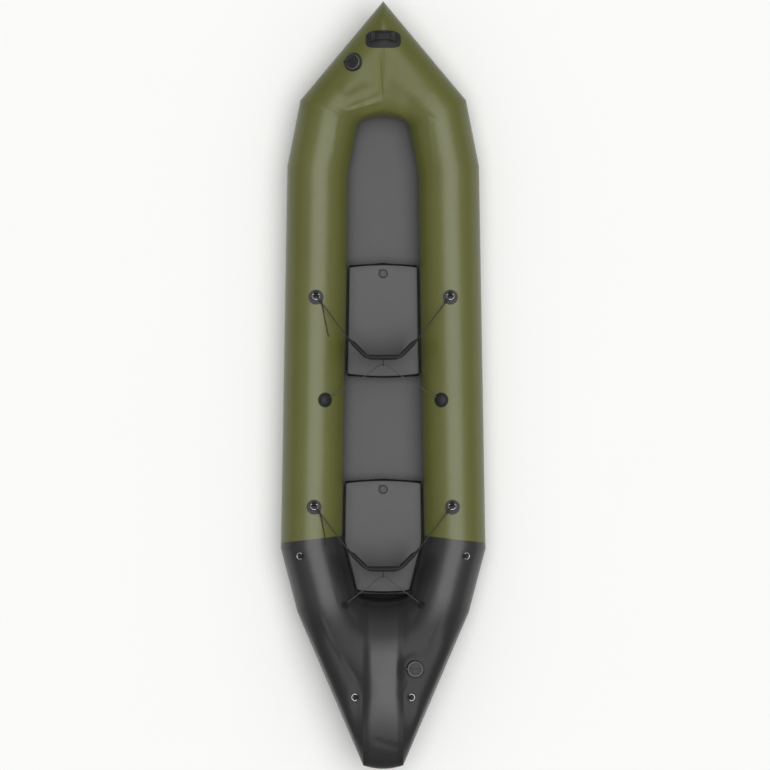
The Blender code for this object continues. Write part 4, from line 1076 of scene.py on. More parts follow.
def flat_frame(node, toward):
    """Frame in the middle of a flat round node: Z along its axis, upward, and -Y in a plan direction."""
    points = node_points(node)
    middle = points.mean(0)
    normal = Vector(np.linalg.svd(points - middle, full_matrices=False)[2][2])
    normal = normal if normal.z > 0 else -normal
    return framed(Vector(middle), normal, toward)


def framed(origin, normal, toward):
    back = -Vector((*toward, 0))
    ahead = (back - normal * back.dot(normal)).normalized()
    made = Matrix((ahead.cross(normal), ahead, normal)).transposed().to_4x4()
    made.translation = origin
    return made


def joint_of(body):
    return next(j for j in frame["joints"] if j["child"] == body)


def ring_frame(body):
    """Frame of a D-ring: X along its bar, which is its joint's axis, and -Y towards its round end."""
    joint = joint_of(body)
    side = -Vector(joint["axis"]).normalized()
    origin = Vector(joint["pos_m"])
    out = Vector(node_points(body).mean(0)) - origin
    ahead = -(out - side * out.dot(side)).normalized()
    made = Matrix((side, ahead, side.cross(ahead))).transposed().to_4x4()
    made.translation = origin
    return made


def on_hull(place):
    """The same frame moved along its Z onto the hull."""
    return place @ Matrix.Translation((0, 0, height_over(place, 0, 0)))


def fittings():
    return bpy.context.scene.packraft_fittings


# Draped patches, stitches and small parts

PATCH_GAP = 0.0004
# A patch's last ring before its edge, where its edge starts, and the height left there
LAST_RING_SHARE = 0.985
EDGE_SHARE = 0.99
EDGE_HEIGHT_SHARE = 0.4
# Size of a knot's turns, as a share of its cord's diameter
KNOT_SHARE = 0.36
# Where the rings of points of a stitch lie on it, and how wide they are
STITCH_SHARES = ((0.12, 0.4), (0.24, 1.0), (0.76, 1.0), (0.88, 0.4))


def outline_point(turn, square):
    x, y = math.cos(turn), math.sin(turn)
    reach = (abs(x) ** square + abs(y) ** square) ** (-1 / square)
    return np.array([x * reach, y * reach])


def draped(name, place, half_sizes, top, finish, square=2, bore=0.0, circles=12, around=64):
    """A patch that follows the hull; top gives its height from the way out and the hull's height."""
    half_sizes = np.array(half_sizes, float)
    shares = np.append(np.linspace(0, 1, circles)[:-1], [LAST_RING_SHARE, 1.0])
    shares = shares if bore else shares[1:]
    low, high = [], []
    for part in shares:
        lows, highs = [], []
        for k in range(around):
            spot = (bore + (half_sizes - bore) * part) * outline_point(math.tau * k / around, square)
            under = height_over(place, *spot) + PATCH_GAP
            lows.append((*spot, under))
            highs.append((*spot, max(top(part, under), under + PATCH_GAP)))
        low.append(lows)
        high.append(highs)
    rings = low + high[::-1]
    if bore:
        made = grid_mesh(name, np.array(rings + rings[:1]))
        face_outward(made, WELD_DISTANCE)
    else:
        made = closed_grid(name, np.array(rings))
    made.data.transform(place)
    sharpen(made)
    return finished(made, finish)


def flat_patch(thickness):
    """Top of an even patch with a thin edge."""
    return lambda part, under: under + thickness * (1 if part < EDGE_SHARE else EDGE_HEIGHT_SHARE)


def evenly(points, step):
    """Points at even distances along a line."""
    points = np.array(points, float)
    runs = norm(np.diff(points, axis=0), axis=1)
    along = np.concatenate([[0], np.cumsum(runs)])
    count = max(2, round(along[-1] / step))
    marks = np.linspace(0, along[-1], count + 1)
    return np.column_stack([np.interp(marks, along, points[:, axis]) for axis in range(points.shape[1])])


def stitched(name, place, points, body):
    """A row of stitches along a line in a frame."""
    sizes = fittings()
    spots = evenly(points, sizes.stitch)
    circle = unit_circle(6) * sizes.thread / 2
    corners, faces = [], []
    for start, end in zip(spots, spots[1:]):
        run = end - start
        side = np.cross(run, [0, 0, 1]) / norm(np.cross(run, [0, 0, 1]))
        up = np.cross(side, run) / norm(run)
        first = len(corners)
        for reach, girth in STITCH_SHARES:
            middle = start + run * reach
            corners += [tuple(middle + (side * x + up * y) * girth) for x, y in circle]
        faces += [tuple(first + v for v in face) for face in grid_faces(4, 6, True)]
        faces += [tuple(range(first, first + 6)), tuple(range(first + 18, first + 24))]
    made = mesh_from(name, corners, faces)
    face_outward(made)
    made.data.transform(place)
    finished(made, "thread")
    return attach(made, body)


def settle(obj, body, node):
    """Lets a piece ride on its body in the place of a frame node."""
    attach(obj, body)
    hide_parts(node)


def on_patch(place, spots, height):
    """Points over the hull in a frame."""
    return [(u, v, height_over(place, u, v) + PATCH_GAP + height) for u, v in spots]


def block(name, sizes, middle, place, finish, edge):
    """A box with rounded edges."""
    work = bmesh.new()
    bmesh.ops.create_cube(work, size=1.0)
    for corner in work.verts:
        corner.co = Vector(a * b for a, b in zip(corner.co, sizes)) + Vector(middle)
    mesh = bpy.data.meshes.new(name)
    work.to_mesh(mesh)
    work.free()
    made = new_object(name, mesh)
    bevel = made.modifiers.new("edge", "BEVEL")
    bevel.width = edge
    bevel.segments = 4
    applied(made)
    made.data.shade_smooth()
    made.data.transform(place)
    return finished(made, finish)


def knot(name, middle, turn, diameter, body):
    """A tight overhand knot."""
    steps = np.linspace(0, math.tau, 60, endpoint=False)
    x = np.sin(steps) + 2 * np.sin(2 * steps)
    y = np.cos(steps) - 2 * np.cos(2 * steps)
    z = -1.6 * np.sin(3 * steps)
    line = np.column_stack([x, y, z]) * diameter * KNOT_SHARE
    place = Matrix.Translation(middle) @ turn.to_4x4()
    made = wire(name, [place @ Vector(p) for p in line], diameter, "cord", cyclic=True)
    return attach(made, body)


def holed(obj, radius, low, high, place):
    """Cuts a round hole along a frame's Z."""
    work = bmesh.new()
    bmesh.ops.create_cone(work, cap_ends=True, segments=64, radius1=radius, radius2=radius, depth=high - low)
    mesh = bpy.data.meshes.new("hole")
    work.to_mesh(mesh)
    work.free()
    mesh.transform(place @ Matrix.Translation((0, 0, (low + high) / 2)))
    tool = new_object("hole", mesh)
    cut = obj.modifiers.new("hole", "BOOLEAN")
    cut.operation = "DIFFERENCE"
    cut.object = tool
    applied(obj)
    bpy.data.objects.remove(tool)
    return obj


# Stage

GROUND_SIZE = 60.0
GROUND_GAP = 0.0005
# Brightness of the sky at the horizon and overhead
SKY_STRENGTHS = (0.14, 0.56)
SUN_STRENGTH = 2.05
SUN_ANGLE = math.radians(58)
SUN_TILT = math.radians(7)


def make_sun(name):
    """A distant soft light, tilted from straight overhead."""
    lamp = bpy.data.lights.new(name, "SUN")
    lamp.energy = SUN_STRENGTH
    lamp.angle = SUN_ANGLE
    made = new_object(name, lamp)
    made.rotation_euler = (0, SUN_TILT, 0)


def paint_world(horizon, zenith):
    """Soft white daylight that is brighter overhead."""
    world = bpy.data.worlds.new("daylight")
    world.use_nodes = True
    tree = world.node_tree
    backdrop = tree.nodes["Background"]
    backdrop.inputs["Color"].default_value = (1, 1, 1, 1)
    place = add(tree, "TexCoord").outputs["Generated"]
    height = component(tree, place, "Z")
    wire_up(tree, backdrop, Strength=ramp(tree, height, horizon, zenith))
    bpy.context.scene.world = world


def paint_ground(base):
    """Ground that looks pale, and throws only a little light back up onto the hull."""
    tree, shader, place = new_finish("ground", 0.9)
    grain = noise(tree, place, 1.5, 2.0)
    body = shades(tree, grain, base, *GROUND_SHADE_SHARES)
    rays = add(tree, "LightPath").outputs
    seen = rays["Is Camera Ray"]
    for kind in ("Is Glossy Ray", "Is Transmission Ray"):
        seen = maths(tree, "MAXIMUM", seen, rays[kind])
    body = mixed(tree, seen, shaded(base, BOUNCE_SHARE), body)
    shader.inputs["Specular IOR Level"].default_value = 0.0
    wire_up(tree, shader, Base_Color=body)


def make_ground(base):
    paint_ground(base)
    half, level = GROUND_SIZE / 2, -GROUND_GAP
    corners = [(-half, -half, level), (half, -half, level), (half, half, level), (-half, half, level)]
    made = mesh_from("ground", corners, [(0, 1, 2, 3)])
    made.data.materials.append(MATERIALS["ground"])


class PackraftStage(bpy.types.Operator):
    """Set the camera, the soft light and the pale ground"""

    bl_idname = "packraft.stage"
    bl_label = "Stage"

    def execute(self, context):
        settings = context.scene.packraft_stage
        camera = bpy.data.cameras.new("camera")
        camera.sensor_width = 36.0
        camera.lens = camera.sensor_width * settings.camera_height / settings.view_width
        camera.clip_start = 1.0
        camera.clip_end = 1000.0
        holder = new_object("camera", camera)
        holder.location = (settings.view_offset, 0, settings.camera_height + extent("side_port", 2))
        context.scene.camera = holder
        context.scene.view_settings.view_transform = "Standard"
        paint_world(*SKY_STRENGTHS)
        make_sun("key_light")
        make_ground(settings.ground)
        return {"FINISHED"}


# Hull

# The skins that a main valve sits in, and its name
VALVE_SKINS = {"bow_port": "bow", "tail_starboard": "stern"}
# Height of the lap over the tubes at its edge and at the seam
LAP_RISES = (0.0006, 0.0002)
LAP_THICKNESS = 0.0004


def lay_laps(plan, grid, rows):
    """The black fabric of the stern, lapped over the rear ends of the side tubes."""
    start = rows[-1] - plan.sizes.lap
    first = np.searchsorted(rows, start)
    part = (start - rows[first - 1]) / (rows[first] - rows[first - 1])
    edge = grid[first - 1] + (grid[first] - grid[first - 1]) * part
    rings = np.concatenate([edge[None], grid[first:]])
    out = rings - rings.mean(1, keepdims=True)
    out /= norm(out, axis=2)[..., None]
    rise = np.linspace(*LAP_RISES, len(rings))[:, None, None]
    for word, side in SIDES:
        made = grid_mesh("quarter_lap_" + word, (rings + out * rise) * [side, 1, 1], flip=side > 0)
        turn_outward(made)
        thickened(made, LAP_THICKNESS)
        sharpen(made)
        finished(made, "black_fabric")
        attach(made, "hull")


def strip_grid(plan):
    sizes = plan.sizes
    steps = math.ceil(sizes.strip / sizes.step) * 2
    turns = np.arange(sizes.around) * math.tau / sizes.around
    grid = np.array([plan.ring(plan.strip(1 - i / steps), turns) for i in range(steps + 1)])
    grid[..., 2] += deck_fullness(plan, "stern_strip", np.ones(steps + 1), turns)
    return grid, turns


def dress_panel(made, node, thickness, finish):
    turn_outward(made)
    thickened(made, thickness)
    sharpen(made)
    if node in VALVE_SKINS:
        sizes = fittings()
        reach = sizes.barrel + sizes.room * 2
        holed(made, reach, -sizes.valve_depth, sizes.valve_depth, main_valve_frame(VALVE_SKINS[node]))
        sharpen(made)
    finished(made, finish)
    settle(made, "hull", node)


class PackraftHull(bpy.types.Operator):
    """Lay the welded fabric panels over the hull's skins"""

    bl_idname = "packraft.hull"
    bl_label = "Hull panels"

    def execute(self, context):
        plan = Plan(context.scene.packraft_hull)
        panels = [panel_grid(plan, name, section) for name, section, _ in plan.segments()]
        grids, distances, (turns, *_) = zip(*panels)
        grids = softened(grids, distances, turns, plan.sizes.mitre)
        for (name, _, finish), grid, rows in zip(plan.segments(), grids, distances):
            if name == "side":
                lay_laps(plan, grid, rows)
            for word, side in SIDES:
                label = name + "_" + word
                made = drawn_panel(plan, label + "_skin", grid * [side, 1, 1], turns, side > 0)
                dress_panel(made, label, plan.sizes.skin, finish)
        grid, turns = strip_grid(plan)
        made = drawn_panel(plan, "stern_strip_skin", grid, turns, False)
        dress_panel(made, "stern_strip", plan.sizes.skin, "strip_fabric")
        return {"FINISHED"}


def turn_outward(obj):
    """Turns an open tube's faces away from its middle line."""
    points = np.array([v.co for v in obj.data.vertices])
    faces = obj.data.polygons
    middle = points.mean(0)
    lean = sum((f.center - Vector(middle)).dot(f.normal) * f.area for f in faces if abs(f.normal.z) > 0.6)
    if lean < 0:
        obj.data.flip_normals()


# Cords

# Places that each cord passes through, in metres; x is outboard
FRONT_SIDE_ROUTE = (
    (0.1638, 0.2180, 0.3085),
    (0.2100, 0.2799, 0.3068),
    (0.2560, 0.3415, 0.3078),
    (0.2925, 0.3905, 0.3098),
    (0.3033, 0.4049, 0.3106),
    (0.3057, 0.4081, 0.3090),
    (0.3067, 0.4094, 0.3050),
    (0.3057, 0.4081, 0.3010),
    (0.3033, 0.4049, 0.2994),
    (0.2961, 0.3953, 0.2998),
    (0.2877, 0.3841, 0.3000),
)
FRONT_TAIL_ROUTE = (
    (0.2815, 0.3560, 0.2925),
    (0.2750, 0.3180, 0.2885),
    (0.2600, 0.2450, 0.2824),
    (0.2565, 0.2280, 0.2807),
)
REAR_SIDE_ROUTE = (
    (0.1638, -0.7740, 0.3095),
    (0.2130, -0.7094, 0.3068),
    (0.2620, -0.6450, 0.3070),
    (0.3008, -0.5940, 0.3089),
    (0.3117, -0.5797, 0.3097),
    (0.3141, -0.5765, 0.3081),
    (0.3151, -0.5752, 0.3041),
    (0.3141, -0.5765, 0.3001),
    (0.3117, -0.5797, 0.2985),
    (0.3044, -0.5892, 0.2989),
    (0.2960, -0.6004, 0.2991),
)
REAR_TAIL_ROUTE = (
    (0.2895, -0.6270, 0.2905),
    (0.2820, -0.6660, 0.2858),
    (0.2670, -0.7400, 0.2796),
    (0.2645, -0.7530, 0.2784),
)
FRONT_BACK_ROUTE = (
    (0.0000, 0.0965, 0.3154),
    (0.0800, 0.0458, 0.3030),
    (0.1700, -0.0085, 0.2925),
    (0.2510, -0.0575, 0.2838),
)
REAR_BACK_ROUTE = (
    (0.0000, -0.8955, 0.3162),
    (0.0600, -0.9395, 0.2995),
    (0.1150, -0.9795, 0.2795),
    (0.1500, -1.0055, 0.2685),
    (0.1635, -1.0178, 0.2713),
    (0.1756, -1.0299, 0.2817),
    (0.1847, -1.0389, 0.2896),
)
# The place of a side cord's route where its loop round the ring starts
LOOP_START = 3
# Thickness of the line in a knot, as a share of the cord's diameter
SIDE_KNOT_SHARE = 0.9
BACK_KNOT_SHARE = 0.85


def smooth_route(places, step):
    """Points along a smooth curve through the places, no further apart than the step."""
    places = [Vector(place) for place in places]
    ends = [places[0] * 2 - places[1]] + places + [places[-1] * 2 - places[-2]]
    points = []
    for before, start, end, after in zip(ends, ends[1:], ends[2:], ends[3:]):
        steps = max(1, math.ceil((end - start).length / step))
        for i in range(steps):
            t = i / steps
            bend = 2 * before - 5 * start + 4 * end - after
            twist = 3 * start - before - 3 * end + after
            points.append(start + (t * (end - before) + t * t * bend + t**3 * twist) / 2)
    return points + [places[-1]]


def at_side(place, side):
    """A place of a route on the port or the starboard side."""
    return Vector((side * place[0], place[1], place[2]))


def turned_to(direction):
    """Turn that brings Z into a direction."""
    return direction.to_track_quat("Z", "Y").to_matrix()


def mirrored_route(places):
    return [(-x, y, z) for x, y, z in places]


def side_cord(row, word, places, diameter):
    """A cord from a backrest's tip to its ring: a line and a loop round the ring, which meet at a fixed
    point.
    """
    name = row + "_side_cord_" + word
    points = smooth_route(places, diameter)
    fixed = Vector(places[LOOP_START])
    cut = min(range(len(points)), key=lambda i: (points[i] - fixed).length)
    line = tied(name + "_line", points[: cut + 1], diameter, "cord")
    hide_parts(name)
    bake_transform(line)
    loop = tied(name + "_loop", points[cut:], diameter, "cord")
    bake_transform(loop)


def tied(name, points, diameter, finish):
    made = wire(name, points, diameter, finish, sides=4)
    return made


class PackraftCords(bpy.types.Operator):
    """Tie the cords that hold the backrests up"""

    bl_idname = "packraft.cords"
    bl_label = "Cords"

    def execute(self, context):
        sizes = context.scene.packraft_fittings
        rows = (("front", FRONT_SIDE_ROUTE, FRONT_TAIL_ROUTE), ("rear", REAR_SIDE_ROUTE, REAR_TAIL_ROUTE))
        for row, route, tail in rows:
            for word, side in SIDES:
                places = mirrored_route(route + tail) if side < 0 else list(route)
                side_cord(row, word, places, sizes.side_cord)
        for row, half in (("front", FRONT_BACK_ROUTE), ("rear", REAR_BACK_ROUTE)):
            places = mirrored_route(half)[:0:-1] + list(half)
            name = row + "_back_cord"
            points = smooth_route(places, sizes.back_cord)
            made = tied(name + "_line", points, sizes.back_cord, "thin_cord")
            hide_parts(name)
            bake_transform(made)
        return {"FINISHED"}


# Cushions

# Height of a cushion's first ring, and how much its sides draw in there
FIRST_RING_SHARE = 0.45
END_DRAW_SHARE = 1 / 3
# Where a cushion's end walls start to bulge, and how far a seat is drawn in for its bulge
BULGE_START_SHARE = 0.80
BULGE_INSET_SHARE = 0.6
# Exponents of a cushion's section and of its ends
SIDE_POWER = 0.55
TOP_POWER = 0.62
BOTTOM_POWER = 0.25
SEAT_END_POWER = 24
MAT_END_POWER = 40
# Height of a seat's seam, and how much squarer than the mat its section is
SEAT_SEAM_SHARE = 0.91
SEAT_SQUARE_SHARE = 0.40
SEAM_BAND = 0.006
FOOT_BAND = 0.02
BORE_TOP = 0.02
# Distances from a seat's valve: where the cushion is free to swell, and where it is pressed flat
SWELL_REACH = (0.026, 0.075)
PRESS_REACH = (0.024, 0.060)
PRESS_DEPTH = 0.030
PRESS_LEVEL = 0.0005
# Floor sheet: its thickness, and how far its middle lies above its edge tape
SHEET_THICKNESS = 0.003
SHEET_RISE = 0.0006
CLOTH_SETTINGS = {
    "quality": 4,
    "mass": 0.3,
    "tension_stiffness": 12,
    "compression_stiffness": 12,
    "bending_stiffness": 0.4,
    "use_pressure": True,
}


def power(value, exponent):
    return np.sign(value) * np.abs(value) ** exponent


def cushion_grid(
    plan, ends, base, height, half_width, end_power, bow=0.0, bulge=0.0, square=1.0, rows=60, around=96
):
    """Rings of a flat-bottomed, crowned cushion that is drawn in at both ends."""
    rear, front = ends
    turns = np.arange(around) * math.tau / around
    cosine, sine = np.cos(turns), np.sin(turns)
    upright = np.where(sine > 0, power(sine, TOP_POWER * square), power(sine, BOTTOM_POWER))
    shares = (1 - np.cos(np.linspace(0, math.pi, rows))) / 2
    grid = np.zeros((rows, around, 3))
    for i, part in enumerate(shares):
        y = rear + (front - rear) * part
        out = 2 * part - 1
        full = FIRST_RING_SHARE + (1 - FIRST_RING_SHARE) * (1 - abs(out) ** end_power) ** (1 / 3)
        width = half_width(y) - (1 - full) * height * END_DRAW_SHARE * square**3
        x = width * power(cosine, SIDE_POWER * square)
        swell = bulge * (1 - (full * upright) ** 2) * smooth(abs(out), BULGE_START_SHARE, 1.0) * np.sign(out)
        grid[i, :, 0] = x
        grid[i, :, 1] = y + swell + bow * out * (1 - (x / width) ** 2)
        grid[i, :, 2] = base + plan.lift(np.array(y)) + height / 2 * (1 + full * upright)
    return grid


def remeshed(obj, voxel, smoothing=6):
    made = obj.modifiers.new("cells", "REMESH")
    made.mode = "VOXEL"
    made.voxel_size = voxel
    made.use_smooth_shade = True
    applied(obj)
    softer = obj.modifiers.new("soft", "SMOOTH")
    softer.factor = 0.5
    softer.iterations = smoothing
    return applied(obj)


def points_of(obj):
    points = np.zeros(len(obj.data.vertices) * 3)
    obj.data.vertices.foreach_get("co", points)
    return points.reshape(-1, 3)


def set_points(obj, points):
    obj.data.vertices.foreach_set("co", points.ravel())
    obj.data.update()


def inflated(obj, pressure, swell, freedom, frames=20):
    """Blows a cushion up with the cloth simulation, then limits how far each point has moved."""
    rest = points_of(obj)
    limit = swell * freedom(rest)
    cloth = obj.modifiers.new("air", "CLOTH")
    for name, value in CLOTH_SETTINGS.items():
        setattr(cloth.settings, name, value)
    cloth.settings.uniform_pressure_force = pressure
    cloth.settings.effector_weights.gravity = 0
    cloth.collision_settings.use_collision = False
    cloth.point_cache.frame_start = 1
    cloth.point_cache.frame_end = frames
    for step in range(1, frames + 1):
        bpy.context.scene.frame_set(step)
    graph = bpy.context.evaluated_depsgraph_get()
    blown = points_of(obj.evaluated_get(graph))
    obj.modifiers.clear()
    bpy.context.scene.frame_set(1)
    moved = blown - rest
    reach = norm(moved, axis=1)
    kept = np.minimum(1, limit / np.maximum(reach, 1e-9))
    set_points(obj, rest + moved * kept[:, None])
    return obj


def subdivided(obj):
    made = obj.modifiers.new("finer", "SUBSURF")
    made.levels = 1
    made.render_levels = 1
    applied(obj)
    obj.data.shade_smooth()
    return obj


def lay_mat(plan, sizes):
    tuck = sizes.mat_tuck
    front, rear = plan.front_apex, plan.rear_apex
    middle, stretch = (front + rear) / 2, (front - rear) / (front - rear + 2 * tuck)

    def half_width(y):
        return plan.cockpit_half_width(middle + (y - middle) * stretch) + tuck

    ends = (rear - tuck / 2, front + tuck / 2)
    grid = cushion_grid(plan, ends, sizes.base, sizes.mat, half_width, MAT_END_POWER, rows=140)
    made = closed_grid("floor_mat_cushion", grid)
    finished(made, "mat_fabric")
    settle(made, "hull", "floor_mat")


def lay_sheet(plan):
    """A welded sheet under the tubes' crest lines, with a raised tape along its edge."""
    low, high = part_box("floor_sheet")
    crests = [section(i / 20)[1] for _, section, _ in plan.segments() for i in range(21)]
    crests = sorted(crests, key=lambda p: p[1])
    places = np.linspace(low.y, high.y, 150)
    widths = np.interp(places, [p[1] for p in crests], [p[0] for p in crests])
    edge = plan.sizes.tape * 2
    rows = []
    for y, width in zip(places, widths):
        lift = float(plan.lift(np.array(y)))
        under = [(width, 0), (width - edge, 0), (width - edge * 1.05, SHEET_RISE), (0, SHEET_RISE)]
        over = [(x, SHEET_THICKNESS) for x in (0, width - edge, width)]
        half = [(x, y, lift + z) for x, z in under + over]
        other = [(-x, *rest) for x, *rest in half]
        rows.append(half[:4] + other[2::-1] + other[:3:-1] + half[5:])
    made = closed_grid("floor_sheet_cloth", np.array(rows))
    finished(made, "floor_fabric")
    settle(made, "hull", "floor_sheet")


class PackraftFloor(bpy.types.Operator):
    """Lay the bottom sheet and the inflatable floor mat"""

    bl_idname = "packraft.floor"
    bl_label = "Floor"

    def execute(self, context):
        plan = Plan(context.scene.packraft_hull)
        lay_sheet(plan)
        lay_mat(plan, context.scene.packraft_cushions)
        return {"FINISHED"}


def seat_cushion(plan, sizes, row):
    low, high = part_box(row + "_seat")
    inset = sizes.seat_bow + sizes.seat_bulge * BULGE_INSET_SHARE
    ends = (low.y + inset, high.y - inset)

    def half_width(y):
        return plan.cockpit_half_width(y) - sizes.seat_gap - sizes.slack

    args = (sizes.seat_base, sizes.seat - sizes.slack, half_width, SEAT_END_POWER, sizes.seat_bow)
    grid = cushion_grid(plan, ends, *args, sizes.seat_bulge, SEAT_SQUARE_SHARE)
    made = closed_grid(row + "_seat_cushion", grid)
    remeshed(made, sizes.voxel, 3)
    seam = sizes.seat_base + sizes.seat * SEAT_SEAM_SHARE
    valve = seat_valve_frame(row)

    def freedom(points):
        away = norm(points[:, :2] - np.array(valve.translation)[:2], axis=1)
        free = smooth(away, *SWELL_REACH) * (1 - 0.9 * hump(points[:, 2], seam, SEAM_BAND))
        return free * smooth(points[:, 2], sizes.seat_base, sizes.seat_base + FOOT_BAND)

    inflated(made, sizes.pressure, sizes.swell, freedom)
    press_flat(made, valve)
    subdivided(made)
    valve_sizes = fittings()
    radius = valve_sizes.seat_barrel + valve_sizes.room
    holed(made, radius, -valve_sizes.seat_depth - valve_sizes.room, BORE_TOP, valve)
    made.data.shade_smooth()
    sharpen(made)
    finished(made, "seat_fabric")
    settle(made, "hull", row + "_seat")
    mark_seat_shaded_ends(made, low.y, high.y, sizes)


def mark_seat_shaded_ends(made, rear, front, sizes):
    """Stores how far each point lies beyond the edge of the seat's black end walls, which are darkened as
    painted shade.
    """
    points = points_of(made)
    across = np.abs(points[:, 0]) / np.abs(points[:, 0]).max()
    away = np.abs(points[:, 1] - (rear + front) / 2) + sizes.seat_bow * across**2
    mark = made.data.attributes.new(END_SHADE_MARK, "FLOAT", "POINT")
    mark.data.foreach_set("value", away - (front - rear) / 2 + sizes.end_band)


def press_flat(made, valve):
    """Sets the cushion's top flat under the valve's flange."""
    points = points_of(made)
    inner = np.array(valve.inverted())
    local = points @ inner[:3, :3].T + inner[:3, 3]
    away = norm(local[:, :2], axis=1)
    near = (1 - smooth(away, *PRESS_REACH)) * (local[:, 2] > -PRESS_DEPTH)
    local[:, 2] += (PRESS_LEVEL - local[:, 2]) * near
    outer = np.array(valve)
    set_points(made, local @ outer[:3, :3].T + outer[:3, 3])


class PackraftSeats(bpy.types.Operator):
    """Inflate the two seat cushions, pressed flat and bored where their valves sit"""

    bl_idname = "packraft.seats"
    bl_label = "Seats"

    def execute(self, context):
        plan = Plan(context.scene.packraft_hull)
        sizes = context.scene.packraft_cushions
        for row in ("front", "rear"):
            seat_cushion(plan, sizes, row)
        return {"FINISHED"}


# Backrests

# Turn from a backrest's panel to its wing, and how its lower and upper edges run out to the tips
BEND_ANGLE = math.pi / 4
WING_SLOPE_SHARE = 1.25
WING_DROP_SHARE = 0.22
TIP_DROP_SHARE = 0.08
# Length of a tip, and the least thickness squared there, as shares of the backrest's thickness
TIP_SHARE = 0.9
LEAST_TIP_SHARE = 0.06
# Place of the binding's middle line on the edge
EDGE_LINE_SHARE = 0.86
# Lines that stay sewn down while a backrest is blown up: their hold, half widths, and the channel's height
FOLD_HOLD_SHARE = 0.95
CHANNEL_HOLD_SHARE = 0.9
FOLD_BAND = 0.006
CHANNEL_BAND = 0.005
CHANNEL_HEIGHT = 0.105
WING_REACH = 0.09
# Where a backrest's swelling ends and starts: past its tips' line, under its upper edge and over its hinge
TIP_HOLD = (-0.004, 0.006)
UPPER_HOLD = (-0.030, -0.016)
HINGE_FREE = (0.012, 0.030)
BACKREST_SWELL_SHARE = 0.8
# How far a tip's lower edge rises, in thicknesses of the backrest, and its cord's knot's place in diameters
TIP_RISE_SHARE = 0.4
KNOT_PLACE_SHARE = 0.6
BINDING = 0.0065
TAB_BASE = (0.040, 0.002, 0.050)
TAB_BASE_GAP = 0.0025
TAB_EDGE = 0.0007
TAB_BASE_EDGE = 0.0009
# Reach to each side of the cutter that makes the tab's hole
TAB_CUT = 0.02


def tip_fullness(part):
    """Thickness of a backrest near its tip, as a share of the full one."""
    return math.sqrt(max(LEAST_TIP_SHARE, 1 - (1 - part) ** 2))


def panel_place(sizes, along):
    """Plan place and direction of the middle surface, so far from the panel's centre to starboard."""
    flat = (sizes.backrest_panel - sizes.backrest_bend) / 2
    radius = sizes.backrest_bend / BEND_ANGLE
    turn = min(max((along - flat) / radius, 0.0), BEND_ANGLE)
    rest = max(0.0, along - flat - sizes.backrest_bend)
    x = min(along, flat) + radius * math.sin(turn) + rest * math.cos(turn)
    return x, radius * (1 - math.cos(turn)) + rest * math.sin(turn), turn


def panel_heights(sizes, along, part):
    """Lowest and highest point of the middle surface over the hinge; part is 0 at the tip."""
    y = panel_place(sizes, along)[1]
    wing = max(0.0, along - sizes.backrest_panel / 2) / (sizes.backrest_wing + sizes.backrest_bend / 2)
    drop = TIP_DROP_SHARE * (1 - part) ** 2
    low = y * WING_SLOPE_SHARE + (1 - part) * sizes.backrest * TIP_RISE_SHARE
    high = sizes.backrest_height * (1 - WING_DROP_SHARE * wing**2 - drop) - sizes.backrest / 2
    return low, high


def panel_ring(sizes, along, part, around=40):
    x, y, turn = panel_place(sizes, abs(along))
    low, high = panel_heights(sizes, abs(along), part)
    half = (sizes.backrest / 2 - sizes.slack / 2) * tip_fullness(part)
    side = math.copysign(1.0, along)
    row = []
    for k in range(around):
        angle = math.tau * (k + 0.5) / around
        out = half * math.cos(angle)
        height = (high if math.sin(angle) > 0 else low) + half * math.sin(angle)
        row.append((side * (x + out * math.sin(turn)), y - out * math.cos(turn), height))
    return row


def edge_line(sizes, end):
    """Middle line of the panel's edge, all the way round."""
    upper, lower = [], []
    for along in np.linspace(-end, end, 90):
        x, y, _ = panel_place(sizes, abs(along))
        part = min(1.0, (end - abs(along)) / (sizes.backrest * TIP_SHARE))
        low, high = panel_heights(sizes, abs(along), part)
        half = sizes.backrest / 2 * tip_fullness(part)
        side = math.copysign(1.0, along)
        upper.append((side * x, y, high + half * EDGE_LINE_SHARE))
        lower.append((side * x, y, low - half * EDGE_LINE_SHARE))
    return upper + lower[::-1]


